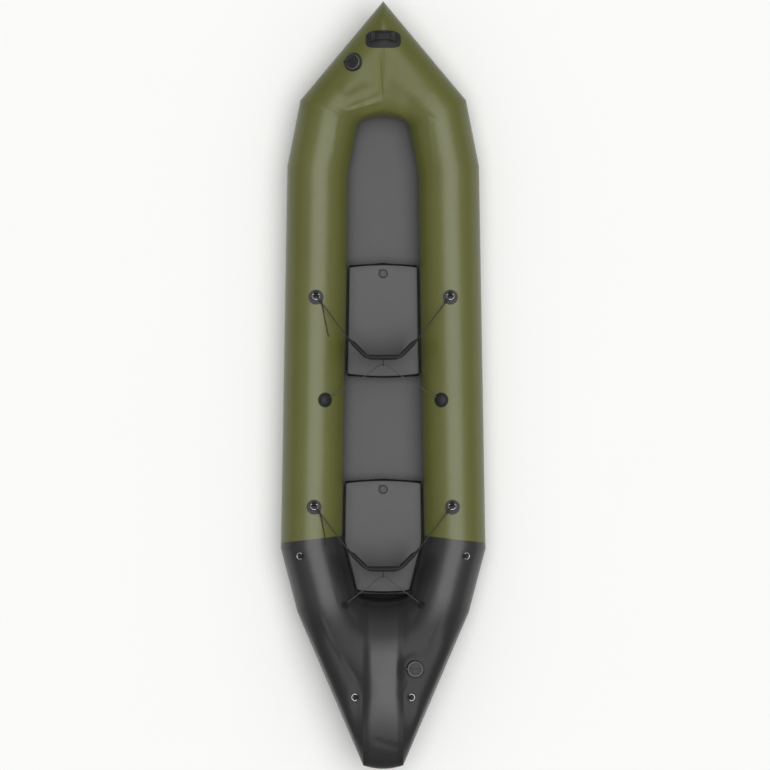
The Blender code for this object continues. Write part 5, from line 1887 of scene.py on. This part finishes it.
def make_backrest(name, sizes):
    axis = Vector(joint_of(name)["pos_m"])
    flat = (sizes.backrest_panel - sizes.backrest_bend) / 2
    end = flat + sizes.backrest_bend + sizes.backrest_wing
    stations = end * np.sin(np.linspace(-math.pi / 2, math.pi / 2, 70))
    parts = np.minimum(1.0, (end - np.abs(stations)) / (sizes.backrest * TIP_SHARE))
    grid = np.array([panel_ring(sizes, along, part) for along, part in zip(stations, parts)])
    made = closed_grid(name + "_panel", grid + np.array(axis))
    remeshed(made, sizes.backrest_voxel, 4)
    fold = flat + sizes.backrest_bend / 2
    lines = [panel_place(sizes, along)[0] for along in (fold, end - sizes.backrest)]
    low, high = axis.z, axis.z + sizes.backrest_height

    def freedom(points):
        across = np.abs(points[:, 0])
        free = 1 - FOLD_HOLD_SHARE * hump(across, lines[0], FOLD_BAND)
        free *= 1 - smooth(across, *(lines[1] + d for d in TIP_HOLD))
        wing = np.clip((across - lines[0]) / WING_REACH, 0, 1)
        crown = high - sizes.backrest_height * WING_DROP_SHARE * wing**2
        free *= 1 - smooth(points[:, 2], *(crown + d for d in UPPER_HOLD))
        channel = hump(points[:, 2], low + CHANNEL_HEIGHT, CHANNEL_BAND) * (across < lines[0])
        free *= 1 - CHANNEL_HOLD_SHARE * channel
        return free * smooth(points[:, 2], *(low + d for d in HINGE_FREE))

    inflated(made, sizes.pressure, sizes.swell * BACKREST_SWELL_SHARE, freedom)
    subdivided(made)
    finished(made, "backrest_fabric")
    settle(made, name, name)
    line = [axis + Vector(p) for p in edge_line(sizes, end)]
    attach(wire(name + "_binding", line, BINDING, "binding", cyclic=True), name)
    cord_tab(name, sizes, axis)
    for word, side in SIDES:
        tip_knot(name, word, side)


def cord_tab(name, sizes, axis):
    """The webbing tab that the rear cord passes through, and the patch that it is sewn to."""
    place = Matrix.Translation(axis)
    back = -sizes.backrest / 2
    tab_sizes = (sizes.tab, sizes.tab_length + sizes.backrest / 4, sizes.tab_width)
    middle = (0, back - sizes.tab_length / 2 + sizes.backrest / 8, sizes.tab_height)
    made = block(name + "_tab", tab_sizes, middle, place, "webbing", TAB_EDGE)
    hole = (0, back - sizes.tab_length + sizes.tab_hole * 2, sizes.tab_height)
    across = place @ Matrix.Translation(hole) @ Matrix.Rotation(math.pi / 2, 4, "Y")
    holed(made, sizes.tab_hole, -TAB_CUT, TAB_CUT, across)
    sharpen(made)
    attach(made, name)
    middle = (0, back - TAB_BASE_GAP, sizes.tab_height)
    base = block(name + "_tab_base", TAB_BASE, middle, place, "webbing", TAB_BASE_EDGE)
    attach(base, name)


def tip_knot(name, word, side):
    """The knot that ends a side cord at a wing's tip."""
    route = FRONT_SIDE_ROUTE if name.startswith("front") else REAR_SIDE_ROUTE
    start, ahead = (at_side(place, side) for place in route[:2])
    away = (ahead - start).normalized()
    cord = fittings().side_cord
    middle = start + away * cord * KNOT_PLACE_SHARE
    knot(name + "_knot_" + word, middle, turned_to(away), cord * SIDE_KNOT_SHARE, name)


class PackraftBackrests(bpy.types.Operator):
    """Pad the two backrests, bind their edges and sew on their cord tabs"""

    bl_idname = "packraft.backrests"
    bl_label = "Backrests"

    def execute(self, context):
        sizes = context.scene.packraft_cushions
        for row in ("front", "rear"):
            make_backrest(row + "_backrest", sizes)
        return {"FINISHED"}


# Lashing points

CORD_RING_TILT = math.radians(22)
# Where the webbing lies: its reach on the patch, and the turns over the ring's bar that it keeps off
WEBBING_REACH_SHARE = 0.80
WEBBING_END_SHARE = 0.16
LAY_TURN = 0.35
# How far from the bar its two layers and its seam start, in radii of its fold
LAYER_SHARES = (1.5, 1.7)
SEAM_START_SHARE = 2.2
BAR_CLEARANCE = 0.0007
SEAM_INSET = 0.003


def ring_line(width, length, corner):
    """Centre line of a D-ring from its bar, which lies on X, towards -Y."""
    half = width / 2
    points = [(-half + corner, 0), (half - corner, 0)]
    turns = np.linspace(0, math.pi / 2, 7)[1:]
    right = [(half - corner + corner * math.sin(t), -corner * (1 - math.cos(t))) for t in turns]
    points += right
    arc = np.linspace(0, math.pi, 33)
    points += [(half * math.cos(t), -(length - half) - half * math.sin(t)) for t in arc]
    points += [(-x, y) for x, y in right[::-1]]
    return points


def ring_extent(node, place):
    """Width and length of a ring's centre line in its frame."""
    wire_width = fittings().wire
    inner = np.array(place.inverted())
    local = node_points(node) @ inner[:3, :3].T + inner[:3, 3]
    width = local[:, 0].max() - local[:, 0].min() - wire_width
    return width, -local[:, 1].min() - wire_width / 2


def laid(place, spots, height):
    """Path of webbing that lies so high over the hull, along a frame's Y."""
    return [(v, height_over(place, 0, v) + height) for v in spots]


def lashing_point(label, sizes, radius, tilt, finish):
    body = label + "_ring"
    bar = ring_frame(body)
    width, length = ring_extent(body, bar)
    place = bar @ Matrix.Rotation(tilt, 4, "X") @ Matrix.Translation((0, -length / 2, -sizes.bar_height))
    line = ring_line(width, length, sizes.ring_corner)
    rise = 0.0 if tilt else ring_rise(place, line, length, sizes)
    lifted = bar @ Matrix.Rotation(-rise, 4, "X")
    spots = [lifted @ Vector((x, y, 0)) for x, y in line]
    ring = wire(body + "_wire", spots, sizes.wire, "steel", cyclic=True, sides=5)
    settle(ring, body, body)
    patch = draped(label + "_patch_disc", place, radius, flat_patch(sizes.patch), finish)
    settle(patch, "hull", label + "_patch")
    webbing_loop(label, place, length / 2, radius, sizes)


def ring_rise(place, line, length, sizes):
    """Angle that a flat ring stands up by to lie on its patch."""
    clear = sizes.patch + PATCH_GAP + sizes.contact + sizes.wire / 2 - sizes.bar_height
    far = [(x, y) for x, y in line if y < -length / 2]
    return max(0.0, *(math.atan2(height_over(place, x, y + length / 2) + clear, -y) for x, y in far))


def webbing_loop(label, place, setback, radius, sizes):
    """Webbing sewn to the patch and folded over the ring's bar."""
    lay = sizes.patch + sizes.webbing / 2 + PATCH_GAP
    bend = sizes.wire / 2 + BAR_CLEARANCE + sizes.webbing / 2
    height = sizes.bar_height
    reach = radius * WEBBING_REACH_SHARE
    start = laid(place, np.linspace(reach, setback + bend * LAYER_SHARES[0], 6), lay)
    turns = np.linspace(LAY_TURN, math.pi - LAY_TURN, 11)
    over = [(setback + bend * math.cos(t), height + bend * math.sin(t)) for t in turns]
    last = setback - bend * LAYER_SHARES[1]
    end = laid(place, np.linspace(last, last - radius * WEBBING_END_SHARE, 3), lay)
    made = strap(label + "_webbing", start + over + end, sizes.webbing_width, sizes.webbing, "webbing")
    made.data.transform(place)
    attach(made, "hull")
    half = sizes.webbing_width / 2 - SEAM_INSET
    first, second = reach - SEAM_INSET, setback + bend * SEAM_START_SHARE
    spots = [(-half, second), (half, second), (half, first), (-half, first), (-half, second)]
    line = evenly(spots, sizes.stitch)
    points = on_patch(place, line, sizes.patch + sizes.webbing + sizes.thread * 0.2)
    stitched(label + "_seam", place, points, "hull")


def ring_knot(row, word, side, route, sizes):
    """The knot that closes a side cord's loop through its ring."""
    before, first, last = (at_side(route[i], side) for i in (LOOP_START - 1, LOOP_START, -1))
    turn = turned_to((first - before).normalized())
    knot(row + "_ring_knot_" + word, (first + last) / 2, turn, sizes.side_cord * SIDE_KNOT_SHARE, "hull")


class PackraftLashingPoints(bpy.types.Operator):
    """Weld on the round patches and hang the D-rings in their webbing loops"""

    bl_idname = "packraft.lashing_points"
    bl_label = "Lashing points"

    def execute(self, context):
        sizes = context.scene.packraft_fittings
        for word, _ in SIDES:
            for row in ("front", "rear"):
                label = "cord_" + row + "_" + word
                lashing_point(label, sizes, sizes.patch_radius, CORD_RING_TILT, "grey_patch")
            for row in ("quarter", "tail"):
                label = row + "_tie_" + word
                lashing_point(label, sizes, sizes.stern_patch_radius, 0.0, "patch_fabric")
        for row, route in (("front", FRONT_SIDE_ROUTE), ("rear", REAR_SIDE_ROUTE)):
            for word, side in SIDES:
                ring_knot(row, word, side, route, sizes)
        return {"FINISHED"}


# Domes and tie tabs

# Width and fullness of a dome on its patch, then the brim and its lip: heights, place and width
DOME_SHARE = 0.80
DOME_POWER = 0.9
BRIM_SHARE = 0.55
LIP_SHARE = 0.25
LIP_PLACE_SHARE = 0.93
LIP_WIDTH_SHARE = 0.05
# Where a tie tab's webbing lies on its disc, in the disc's radii and then in those of its fold
FOOT_SHARES = (0.85, 1.25)


def tie_dome(word, side, sizes):
    place = on_hull(flat_frame("tie_dome_" + word, (0, -1)))

    def top(part, under):
        rise = math.sqrt(max(0.0, 1 - (part / DOME_SHARE) ** 2)) ** DOME_POWER
        lip = math.exp(-(((part - LIP_PLACE_SHARE) / LIP_WIDTH_SHARE) ** 2))
        brim = sizes.patch * (BRIM_SHARE + LIP_SHARE * lip) * (1 if part < EDGE_SHARE else 0.5)
        return under + brim + sizes.dome * rise

    radius = sizes.patch_radius
    name = "tie_dome_" + word + "_cap"
    made = draped(name, place, radius, top, "black_rubber", circles=36, around=96)
    settle(made, "hull", "tie_dome_" + word)
    end = at_side(FRONT_BACK_ROUTE[-1], side)
    knot("dome_knot_" + word, end, Matrix.Identity(3), sizes.back_cord * BACK_KNOT_SHARE, "hull")


def tie_tab(word, side, sizes):
    node = "tie_tab_" + word
    place = on_hull(flat_frame(node, (side, 1)))
    radius = sizes.tab_radius
    made = draped(node + "_disc", place, radius, flat_patch(sizes.patch), "black_rubber", around=48)
    settle(made, "hull", node)
    bend = sizes.tab_loop + sizes.webbing / 2
    base = sizes.drape + sizes.patch
    turns = np.linspace(0.1, math.pi - 0.1, 17)
    over = [(bend * math.cos(t), base + bend * math.sin(t)) for t in turns]
    lay = sizes.patch + sizes.webbing / 2 + PATCH_GAP
    feet = np.linspace(radius * FOOT_SHARES[0], bend * FOOT_SHARES[1], 4)
    start = laid(place, feet, lay)
    end = laid(place, -feet[::-1], lay)
    loop = strap(node + "_loop", start + over + end, sizes.webbing_width, sizes.webbing, "webbing")
    loop.data.transform(place)
    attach(loop, "hull")
    last = at_side(REAR_BACK_ROUTE[-1], side)
    knot("tab_knot_" + word, last, Matrix.Identity(3), sizes.back_cord * BACK_KNOT_SHARE, "hull")


class PackraftTiePoints(bpy.types.Operator):
    """Weld on the moulded domes amidships and the webbing tabs in the cockpit's rear corners"""

    bl_idname = "packraft.tie_points"
    bl_label = "Tie points"

    def execute(self, context):
        sizes = context.scene.packraft_fittings
        for word, side in SIDES:
            tie_dome(word, side, sizes)
            tie_tab(word, side, sizes)
        return {"FINISHED"}


# Bow handle

# How high the grip stands at places along it, and how much narrower it is in the middle
GRIP_STATION_SHARES = (-1.0, -0.86, -0.72, -0.55, -0.3, 0.0, 0.3, 0.55, 0.72, 0.86, 1.0)
GRIP_RISE_SHARES = (0.0, 0.0, 0.45, 0.9, 1.0, 1.0, 1.0, 0.9, 0.45, 0.0, 0.0)
GRIP_WAIST_SHARE = 0.25
GRIP_POWER = 0.6
# Where along it the grip starts to narrow and to thin towards its ends, and by how much
NARROW_START_SHARE = 0.96
END_NARROW_SHARE = 0.10
THIN_START_SHARE = 0.94
END_THIN_SHARE = 0.5
PAD_SQUARE = 3.8
# Where the stitches lie: on the pad, along and across the grip's ends, and how far apart two rows are
PAD_SEAM_SHARE = 0.93
TACK_PLACE_SHARE = 0.90
TACK_LENGTH_SHARE = 0.70
TACK_SHIFTS = (-0.0035, 0.0035)
TACK_RISE = 0.0006


def make_grip(place, sizes, rows=150, around=48):
    forward = (sizes.pad_length - sizes.grip_width) / 4
    stations = np.linspace(-1, 1, rows)
    rises = smooth_through(GRIP_STATION_SHARES, GRIP_RISE_SHARES, stations)
    turns = np.arange(around) * math.tau / around
    grid = np.zeros((rows, around, 3))
    for i, (part, rise) in enumerate(zip(stations, rises)):
        x = sizes.grip_length / 2 * part
        tip = 1 - END_NARROW_SHARE * smooth(abs(part), NARROW_START_SHARE, 1.0)
        narrow = sizes.grip_width / 2 * (1 - GRIP_WAIST_SHARE * rise) * tip
        across = forward + narrow * power(np.cos(turns), GRIP_POWER)
        spots = (forward - narrow, forward, forward + narrow)
        hull = np.array([height_over(place, x, v) for v in spots])
        floor = np.interp(across, spots, hull) * (1 - rise)
        base = sizes.pad + PATCH_GAP * 2 + floor + sizes.grip_rise * rise
        thin = 1 - END_THIN_SHARE * smooth(abs(part), THIN_START_SHARE, 1.0)
        thick = sizes.grip / 2 * thin
        height = base + thick * (1 + power(np.sin(turns), GRIP_POWER))
        grid[i] = np.column_stack([np.full(around, x), across, height])
    made = closed_grid("handle_grip_bar", grid)
    made.data.transform(place)
    sharpen(made, TURNED_SHARP_ANGLE)
    finished(made, "grip_rubber")
    settle(made, "hull", "handle_grip")
    for word, side in SIDES:
        x = side * sizes.grip_length / 2 * TACK_PLACE_SHARE
        half = sizes.grip_width / 2 * TACK_LENGTH_SHARE
        for i, shift in enumerate(TACK_SHIFTS):
            spots = [(x + shift, forward - half), (x + shift, forward + half)]
            line = evenly(spots, sizes.stitch)
            points = on_patch(place, line, sizes.pad + sizes.grip * 1.02 + TACK_RISE)
            stitched("handle_tack_" + word + str(i), place, points, "hull")


class PackraftHandle(bpy.types.Operator):
    """Weld on the bow handle: pad, grip and stitching"""

    bl_idname = "packraft.handle"
    bl_label = "Bow handle"

    def execute(self, context):
        sizes = context.scene.packraft_fittings
        place = on_hull(flat_frame("handle_pad", (0, -1)))
        half = (sizes.pad_width / 2, sizes.pad_length / 2)
        shape = {"square": PAD_SQUARE, "circles": 20, "around": 120}
        pad = draped("handle_pad_sheet", place, half, flat_patch(sizes.pad), "black_rubber", **shape)
        settle(pad, "hull", "handle_pad")
        turns = np.linspace(0, math.tau, 90)
        spots = [np.array(half) * PAD_SEAM_SHARE * outline_point(t, PAD_SQUARE) for t in turns]
        line = evenly(spots, sizes.stitch)
        stitched("handle_pad_seam", place, on_patch(place, line, sizes.pad), "hull")
        make_grip(place, sizes)
        return {"FINISHED"}


def smooth_through(places, values, wanted):
    """Values at wanted places on a smooth curve through the given ones."""
    fine = np.interp(wanted, places, values)
    for _ in range(10):
        fine = np.convolve(np.pad(fine, 1, mode="edge"), [0.25, 0.5, 0.25], mode="valid")
    return fine


# Valves


# Places along the radius: where ribs start, the edges of the dishes and of the flange's groove, and the nub
CAP_RIB_SHARE = 0.97
PLUG_RIB_SHARE = 0.95
DISH_SHARE = 0.78
PLUG_DISH_SHARES = (0.45, 0.55)
GROOVE_SHARES = (0.70, 0.74, 0.84, 0.88)
NUB_PLACE_SHARE = 0.74
# Thickness left at the rim of a main valve's pad, and how far under the flange its slope starts
PAD_RIM_SHARE = 0.30
PAD_SLOPE_INSET = 0.001
# Corner radii of the turned pieces, and their ribs: count and depth
BODY_CORNER = 0.0022
CAP_CORNER = 0.0018
SEAT_BODY_CORNER = 0.0010
PLUG_CORNER = 0.0011
CAP_RIBS = (36, 0.0005)
PLUG_RIBS = (24, 0.0003)
# A main valve's tether lug, the hole for its plunger's stem, and the floor of its barrel
TETHER = (0.012, 0.011, 0.005)
TETHER_GAP = 0.0035
TETHER_AHEAD = 0.001
TETHER_EDGE = 0.0018
STEM_HOLE = 0.0058
BARREL_FLOOR = 0.0025
# The dish in a cap and the grooves in a seat valve's flange, and the grip bars of caps and plugs
DISH_DEPTH = 0.0012
DISH_SLOPE = 0.003
CAP_BAR_SHARES = (1.5, 0.25)
CAP_BAR_RISE = 0.001
CAP_BAR_EDGE = 0.0012
NUB = (0.007, 0.009, 0.003)
NUB_EDGE = 0.0011
PLUG_DISH_DEPTH = 0.001
PLUG_BAR_SHARE = 0.9
PLUG_BAR_DROP = 0.0006
PLUG_BAR = 0.0030
PLUG_BAR_EDGE = 0.0009


def valve_frame(valve, moving, depth):
    """Frame of a valve whose lower end lies so deep: Z along the axis of its moving piece, -Y aft."""
    points = node_points(valve + "_body")
    up = np.array(joint_of(valve + moving)["axis"], float)
    up /= norm(up)
    up = up if up[2] > 0 else -up
    centre = (points.max(0) + points.min(0)) / 2
    heights = (points - centre) @ up
    flat = points - np.outer(heights, up)
    middle = flat.mean(0)
    return framed(Vector(middle + up * (heights.min() + depth)), Vector(up), (0, -1))


def seat_valve_frame(row):
    return valve_frame(row + "_seat_valve", "_plug", fittings().seat_depth)


def main_valve_frame(row):
    return valve_frame(row + "_valve", "_cap", fittings().valve_depth)


def valve_pad(row, place, sizes):
    bore = sizes.barrel + sizes.room
    rim = sizes.barrel + sizes.flange
    outer = rim + sizes.valve_margin
    flat = sizes.drape + sizes.valve_pad

    def top(part, under):
        radius = bore + (outer - bore) * part
        slope = smooth(radius, rim - PAD_SLOPE_INSET, outer)
        return flat + (under + sizes.valve_pad * PAD_RIM_SHARE - flat) * slope

    name = row + "_valve_pad"
    rings = {"bore": bore, "circles": 20, "around": 96}
    made = draped(name + "_disc", place, outer, top, "black_rubber", **rings)
    settle(made, "hull", name)
    middle = (-rim - TETHER_GAP, TETHER_AHEAD, flat + TETHER_GAP)
    nub = block(row + "_valve_tether", TETHER, middle, place, "black_plastic", TETHER_EDGE)
    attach(nub, "hull")


def valve_body(row, place, sizes):
    seat = sizes.drape + sizes.valve_pad + sizes.contact
    low = seat + sizes.flange_height
    high = low + sizes.neck
    barrel, bore = sizes.barrel, sizes.barrel - sizes.valve_wall
    rim = barrel + sizes.flange
    end = -sizes.valve_depth
    floor = end + BARREL_FLOOR
    profile = [(barrel, (low + high) / 2), (barrel, low), (rim, low), (rim, seat), (barrel, seat)]
    profile += [(barrel, end), (STEM_HOLE, end), (STEM_HOLE, floor), (bore, floor)]
    profile += [(bore, high), (barrel, high), (barrel, (low + high) / 2)]
    name = row + "_valve_body"
    # The body's light grey finish is a painted highlight of the flange's glint
    made = lathe(name + "_turned", rounded(profile, BODY_CORNER, 5), place, "gloss_plastic")
    settle(made, "hull", name)


def valve_spring(row, place, sizes):
    """The coil under the plunger, spanning the heights of the frame's spring node."""
    name = row + "_valve_spring"
    heights = [(place.inverted() @ Vector(p)).z for p in node_points(name)]
    low = min(heights) + sizes.spring_wire / 2
    high = max(heights) - sizes.spring_wire / 2
    points = []
    for part in np.linspace(0, 1, 24 * sizes.spring_turns + 1):
        turn = math.tau * sizes.spring_turns * part
        round_place = (sizes.spring * math.cos(turn), sizes.spring * math.sin(turn))
        points.append(place @ Vector((*round_place, low + (high - low) * part)))
    made = wire(name + "_coil", points, sizes.spring_wire, "steel", sides=4)
    settle(made, "hull", name)
    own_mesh(made)


def valve_cap(row, place, sizes):
    low = sizes.drape + sizes.valve_pad + sizes.contact * 2 + sizes.flange_height
    roof = low - sizes.contact + sizes.neck + sizes.room
    top = roof + sizes.cap_wall
    inside = sizes.barrel + sizes.room
    radius = inside + sizes.cap_side
    dish = radius * DISH_SHARE
    sunk = top - DISH_DEPTH
    profile = [(0, sunk), (dish - DISH_SLOPE, sunk), (dish, top), (radius, top), (radius, low)]
    profile += [(inside, low), (inside, roof), (0, roof)]
    profile = rounded(profile, CAP_CORNER, 4)
    ribs = (*CAP_RIBS, radius * CAP_RIB_SHARE)
    cap = lathe(row + "_cap_shell", profile, place, "black_plastic", 144, ribs)
    length, width = (radius * bar_share for bar_share in CAP_BAR_SHARES)
    bar_sizes = (length, width, sizes.cap_wall * 2)
    middle = (0, 0, top - sizes.cap_wall / 2 + CAP_BAR_RISE)
    bar = block(row + "_cap_bar", bar_sizes, middle, place, "black_plastic", CAP_BAR_EDGE)
    made = joined(row + "_valve_cap_ribbed", [cap, bar])
    finished(made, "black_plastic")
    settle(made, row + "_valve_cap", row + "_valve_cap")


class PackraftMainValves(bpy.types.Operator):
    """Build the bow and stern valves: pad, body with flange, return spring and ribbed screw cap"""

    bl_idname = "packraft.main_valves"
    bl_label = "Main valves"

    def execute(self, context):
        sizes = context.scene.packraft_fittings
        for row in ("bow", "stern"):
            place = main_valve_frame(row)
            valve_pad(row, place, sizes)
            valve_body(row, place, sizes)
            valve_spring(row, place, sizes)
            valve_cap(row, place, sizes)
        return {"FINISHED"}


def seat_valve_body(row, place, sizes):
    low, barrel = sizes.drape, sizes.seat_barrel
    top = low + sizes.seat_rim
    radius = barrel + sizes.seat_flange
    bore = barrel - sizes.seat_wall
    sunk = top - DISH_DEPTH
    groove = [radius * place_share for place_share in GROOVE_SHARES]
    profile = [(bore, low), (bore, top), (groove[0], top), (groove[1], sunk)]
    profile += [(groove[2], sunk), (groove[3], top), (radius, top), (radius, low), (barrel, low)]
    profile += [(barrel, -sizes.seat_depth), (bore, -sizes.seat_depth), (bore, low)]
    name = row + "_seat_valve_body"
    made = lathe(name + "_turned", rounded(profile, SEAT_BODY_CORNER, 4), place, "valve_rubber")
    settle(made, "hull", name)
    middle = (-radius * NUB_PLACE_SHARE, radius * NUB_PLACE_SHARE, (low + top) / 2)
    turn = place @ Matrix.Translation(middle) @ Matrix.Rotation(math.radians(45), 4, "Z")
    nub = block(row + "_seat_valve_nub", NUB, (0, 0, 0), turn, "valve_rubber", NUB_EDGE)
    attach(nub, "hull")


def seat_valve_plug(row, place, sizes):
    bore = sizes.seat_barrel - sizes.seat_wall
    seat = sizes.drape + sizes.seat_rim + sizes.contact
    top = seat + sizes.plug_head
    radius = bore + sizes.plug_lip
    shank = bore - sizes.contact
    end = seat - sizes.contact - sizes.plug_length
    sunk = top - PLUG_DISH_DEPTH
    inner, outer = (radius * place_share for place_share in PLUG_DISH_SHARES)
    profile = [(0, sunk), (inner, sunk), (outer, top), (radius, top), (radius, seat)]
    profile += [(shank, seat), (shank, end), (0, end)]
    profile = rounded(profile, PLUG_CORNER, 4)
    name = row + "_seat_valve_plug"
    ribs = (*PLUG_RIBS, radius * PLUG_RIB_SHARE)
    head = lathe(name + "_head", profile, place, "plug_plastic", ripple=ribs)
    bar_sizes = (radius * PLUG_BAR_SHARE, PLUG_BAR, PLUG_BAR)
    middle = (0, 0, top - PLUG_BAR_DROP)
    bar = block(name + "_bar", bar_sizes, middle, place, "plug_plastic", PLUG_BAR_EDGE)
    made = joined(name + "_turned", [head, bar])
    finished(made, "plug_plastic")
    settle(made, name, name)


class PackraftSeatValves(bpy.types.Operator):
    """Set the round valves and their plugs in the seats"""

    bl_idname = "packraft.seat_valves"
    bl_label = "Seat valves"

    def execute(self, context):
        sizes = context.scene.packraft_fittings
        for row in ("front", "rear"):
            place = seat_valve_frame(row)
            seat_valve_body(row, place, sizes)
            seat_valve_plug(row, place, sizes)
        return {"FINISHED"}


# Panel and registration


class PACKRAFT_PT_panel(bpy.types.Panel):
    """Sizes, colours and pieces of the packraft"""

    bl_label = "Packraft"
    bl_idname = "PACKRAFT_PT_panel"
    bl_space_type = "VIEW_3D"
    bl_region_type = "UI"
    bl_category = "Packraft"

    def draw(self, context):
        scene = context.scene
        for made in OPERATORS:
            self.layout.operator(made.bl_idname)
        for group in GROUPS:
            settings = getattr(scene, group)
            box = self.layout.box()
            box.label(text=settings.bl_rna.description or settings.bl_rna.name)
            for name in settings.__annotations__:
                box.prop(settings, name)


OPERATORS = (
    PackraftStage,
    PackraftCords,
    PackraftHull,
    PackraftFloor,
    PackraftSeats,
    PackraftBackrests,
    PackraftLashingPoints,
    PackraftTiePoints,
    PackraftHandle,
    PackraftMainValves,
    PackraftSeatValves,
)
GROUPS = {
    "packraft_hull": HullSizes,
    "packraft_cushions": CushionSizes,
    "packraft_fittings": FittingSizes,
    "packraft_colours": FinishColours,
    "packraft_stage": StageSettings,
}
CLASSES = (*GROUPS.values(), *OPERATORS, PACKRAFT_PT_panel)


def register():
    for made in CLASSES:
        bpy.utils.register_class(made)
    for name, group in GROUPS.items():
        setattr(bpy.types.Scene, name, PointerProperty(type=group))


def unregister():
    for name in GROUPS:
        delattr(bpy.types.Scene, name)
    for made in reversed(CLASSES):
        bpy.utils.unregister_class(made)


def dress_frame():
    """Gives every frame node its own finish."""
    for node in frame["nodes"].values():
        finished(node, node.data.materials[0].name.split(".")[0])


def main():
    register()
    make_finishes(bpy.context.scene.packraft_colours)
    dress_frame()
    for made in OPERATORS:
        group, name = made.bl_idname.split(".")
        getattr(getattr(bpy.ops, group), name)()


if __name__ == "__main__":
    main()
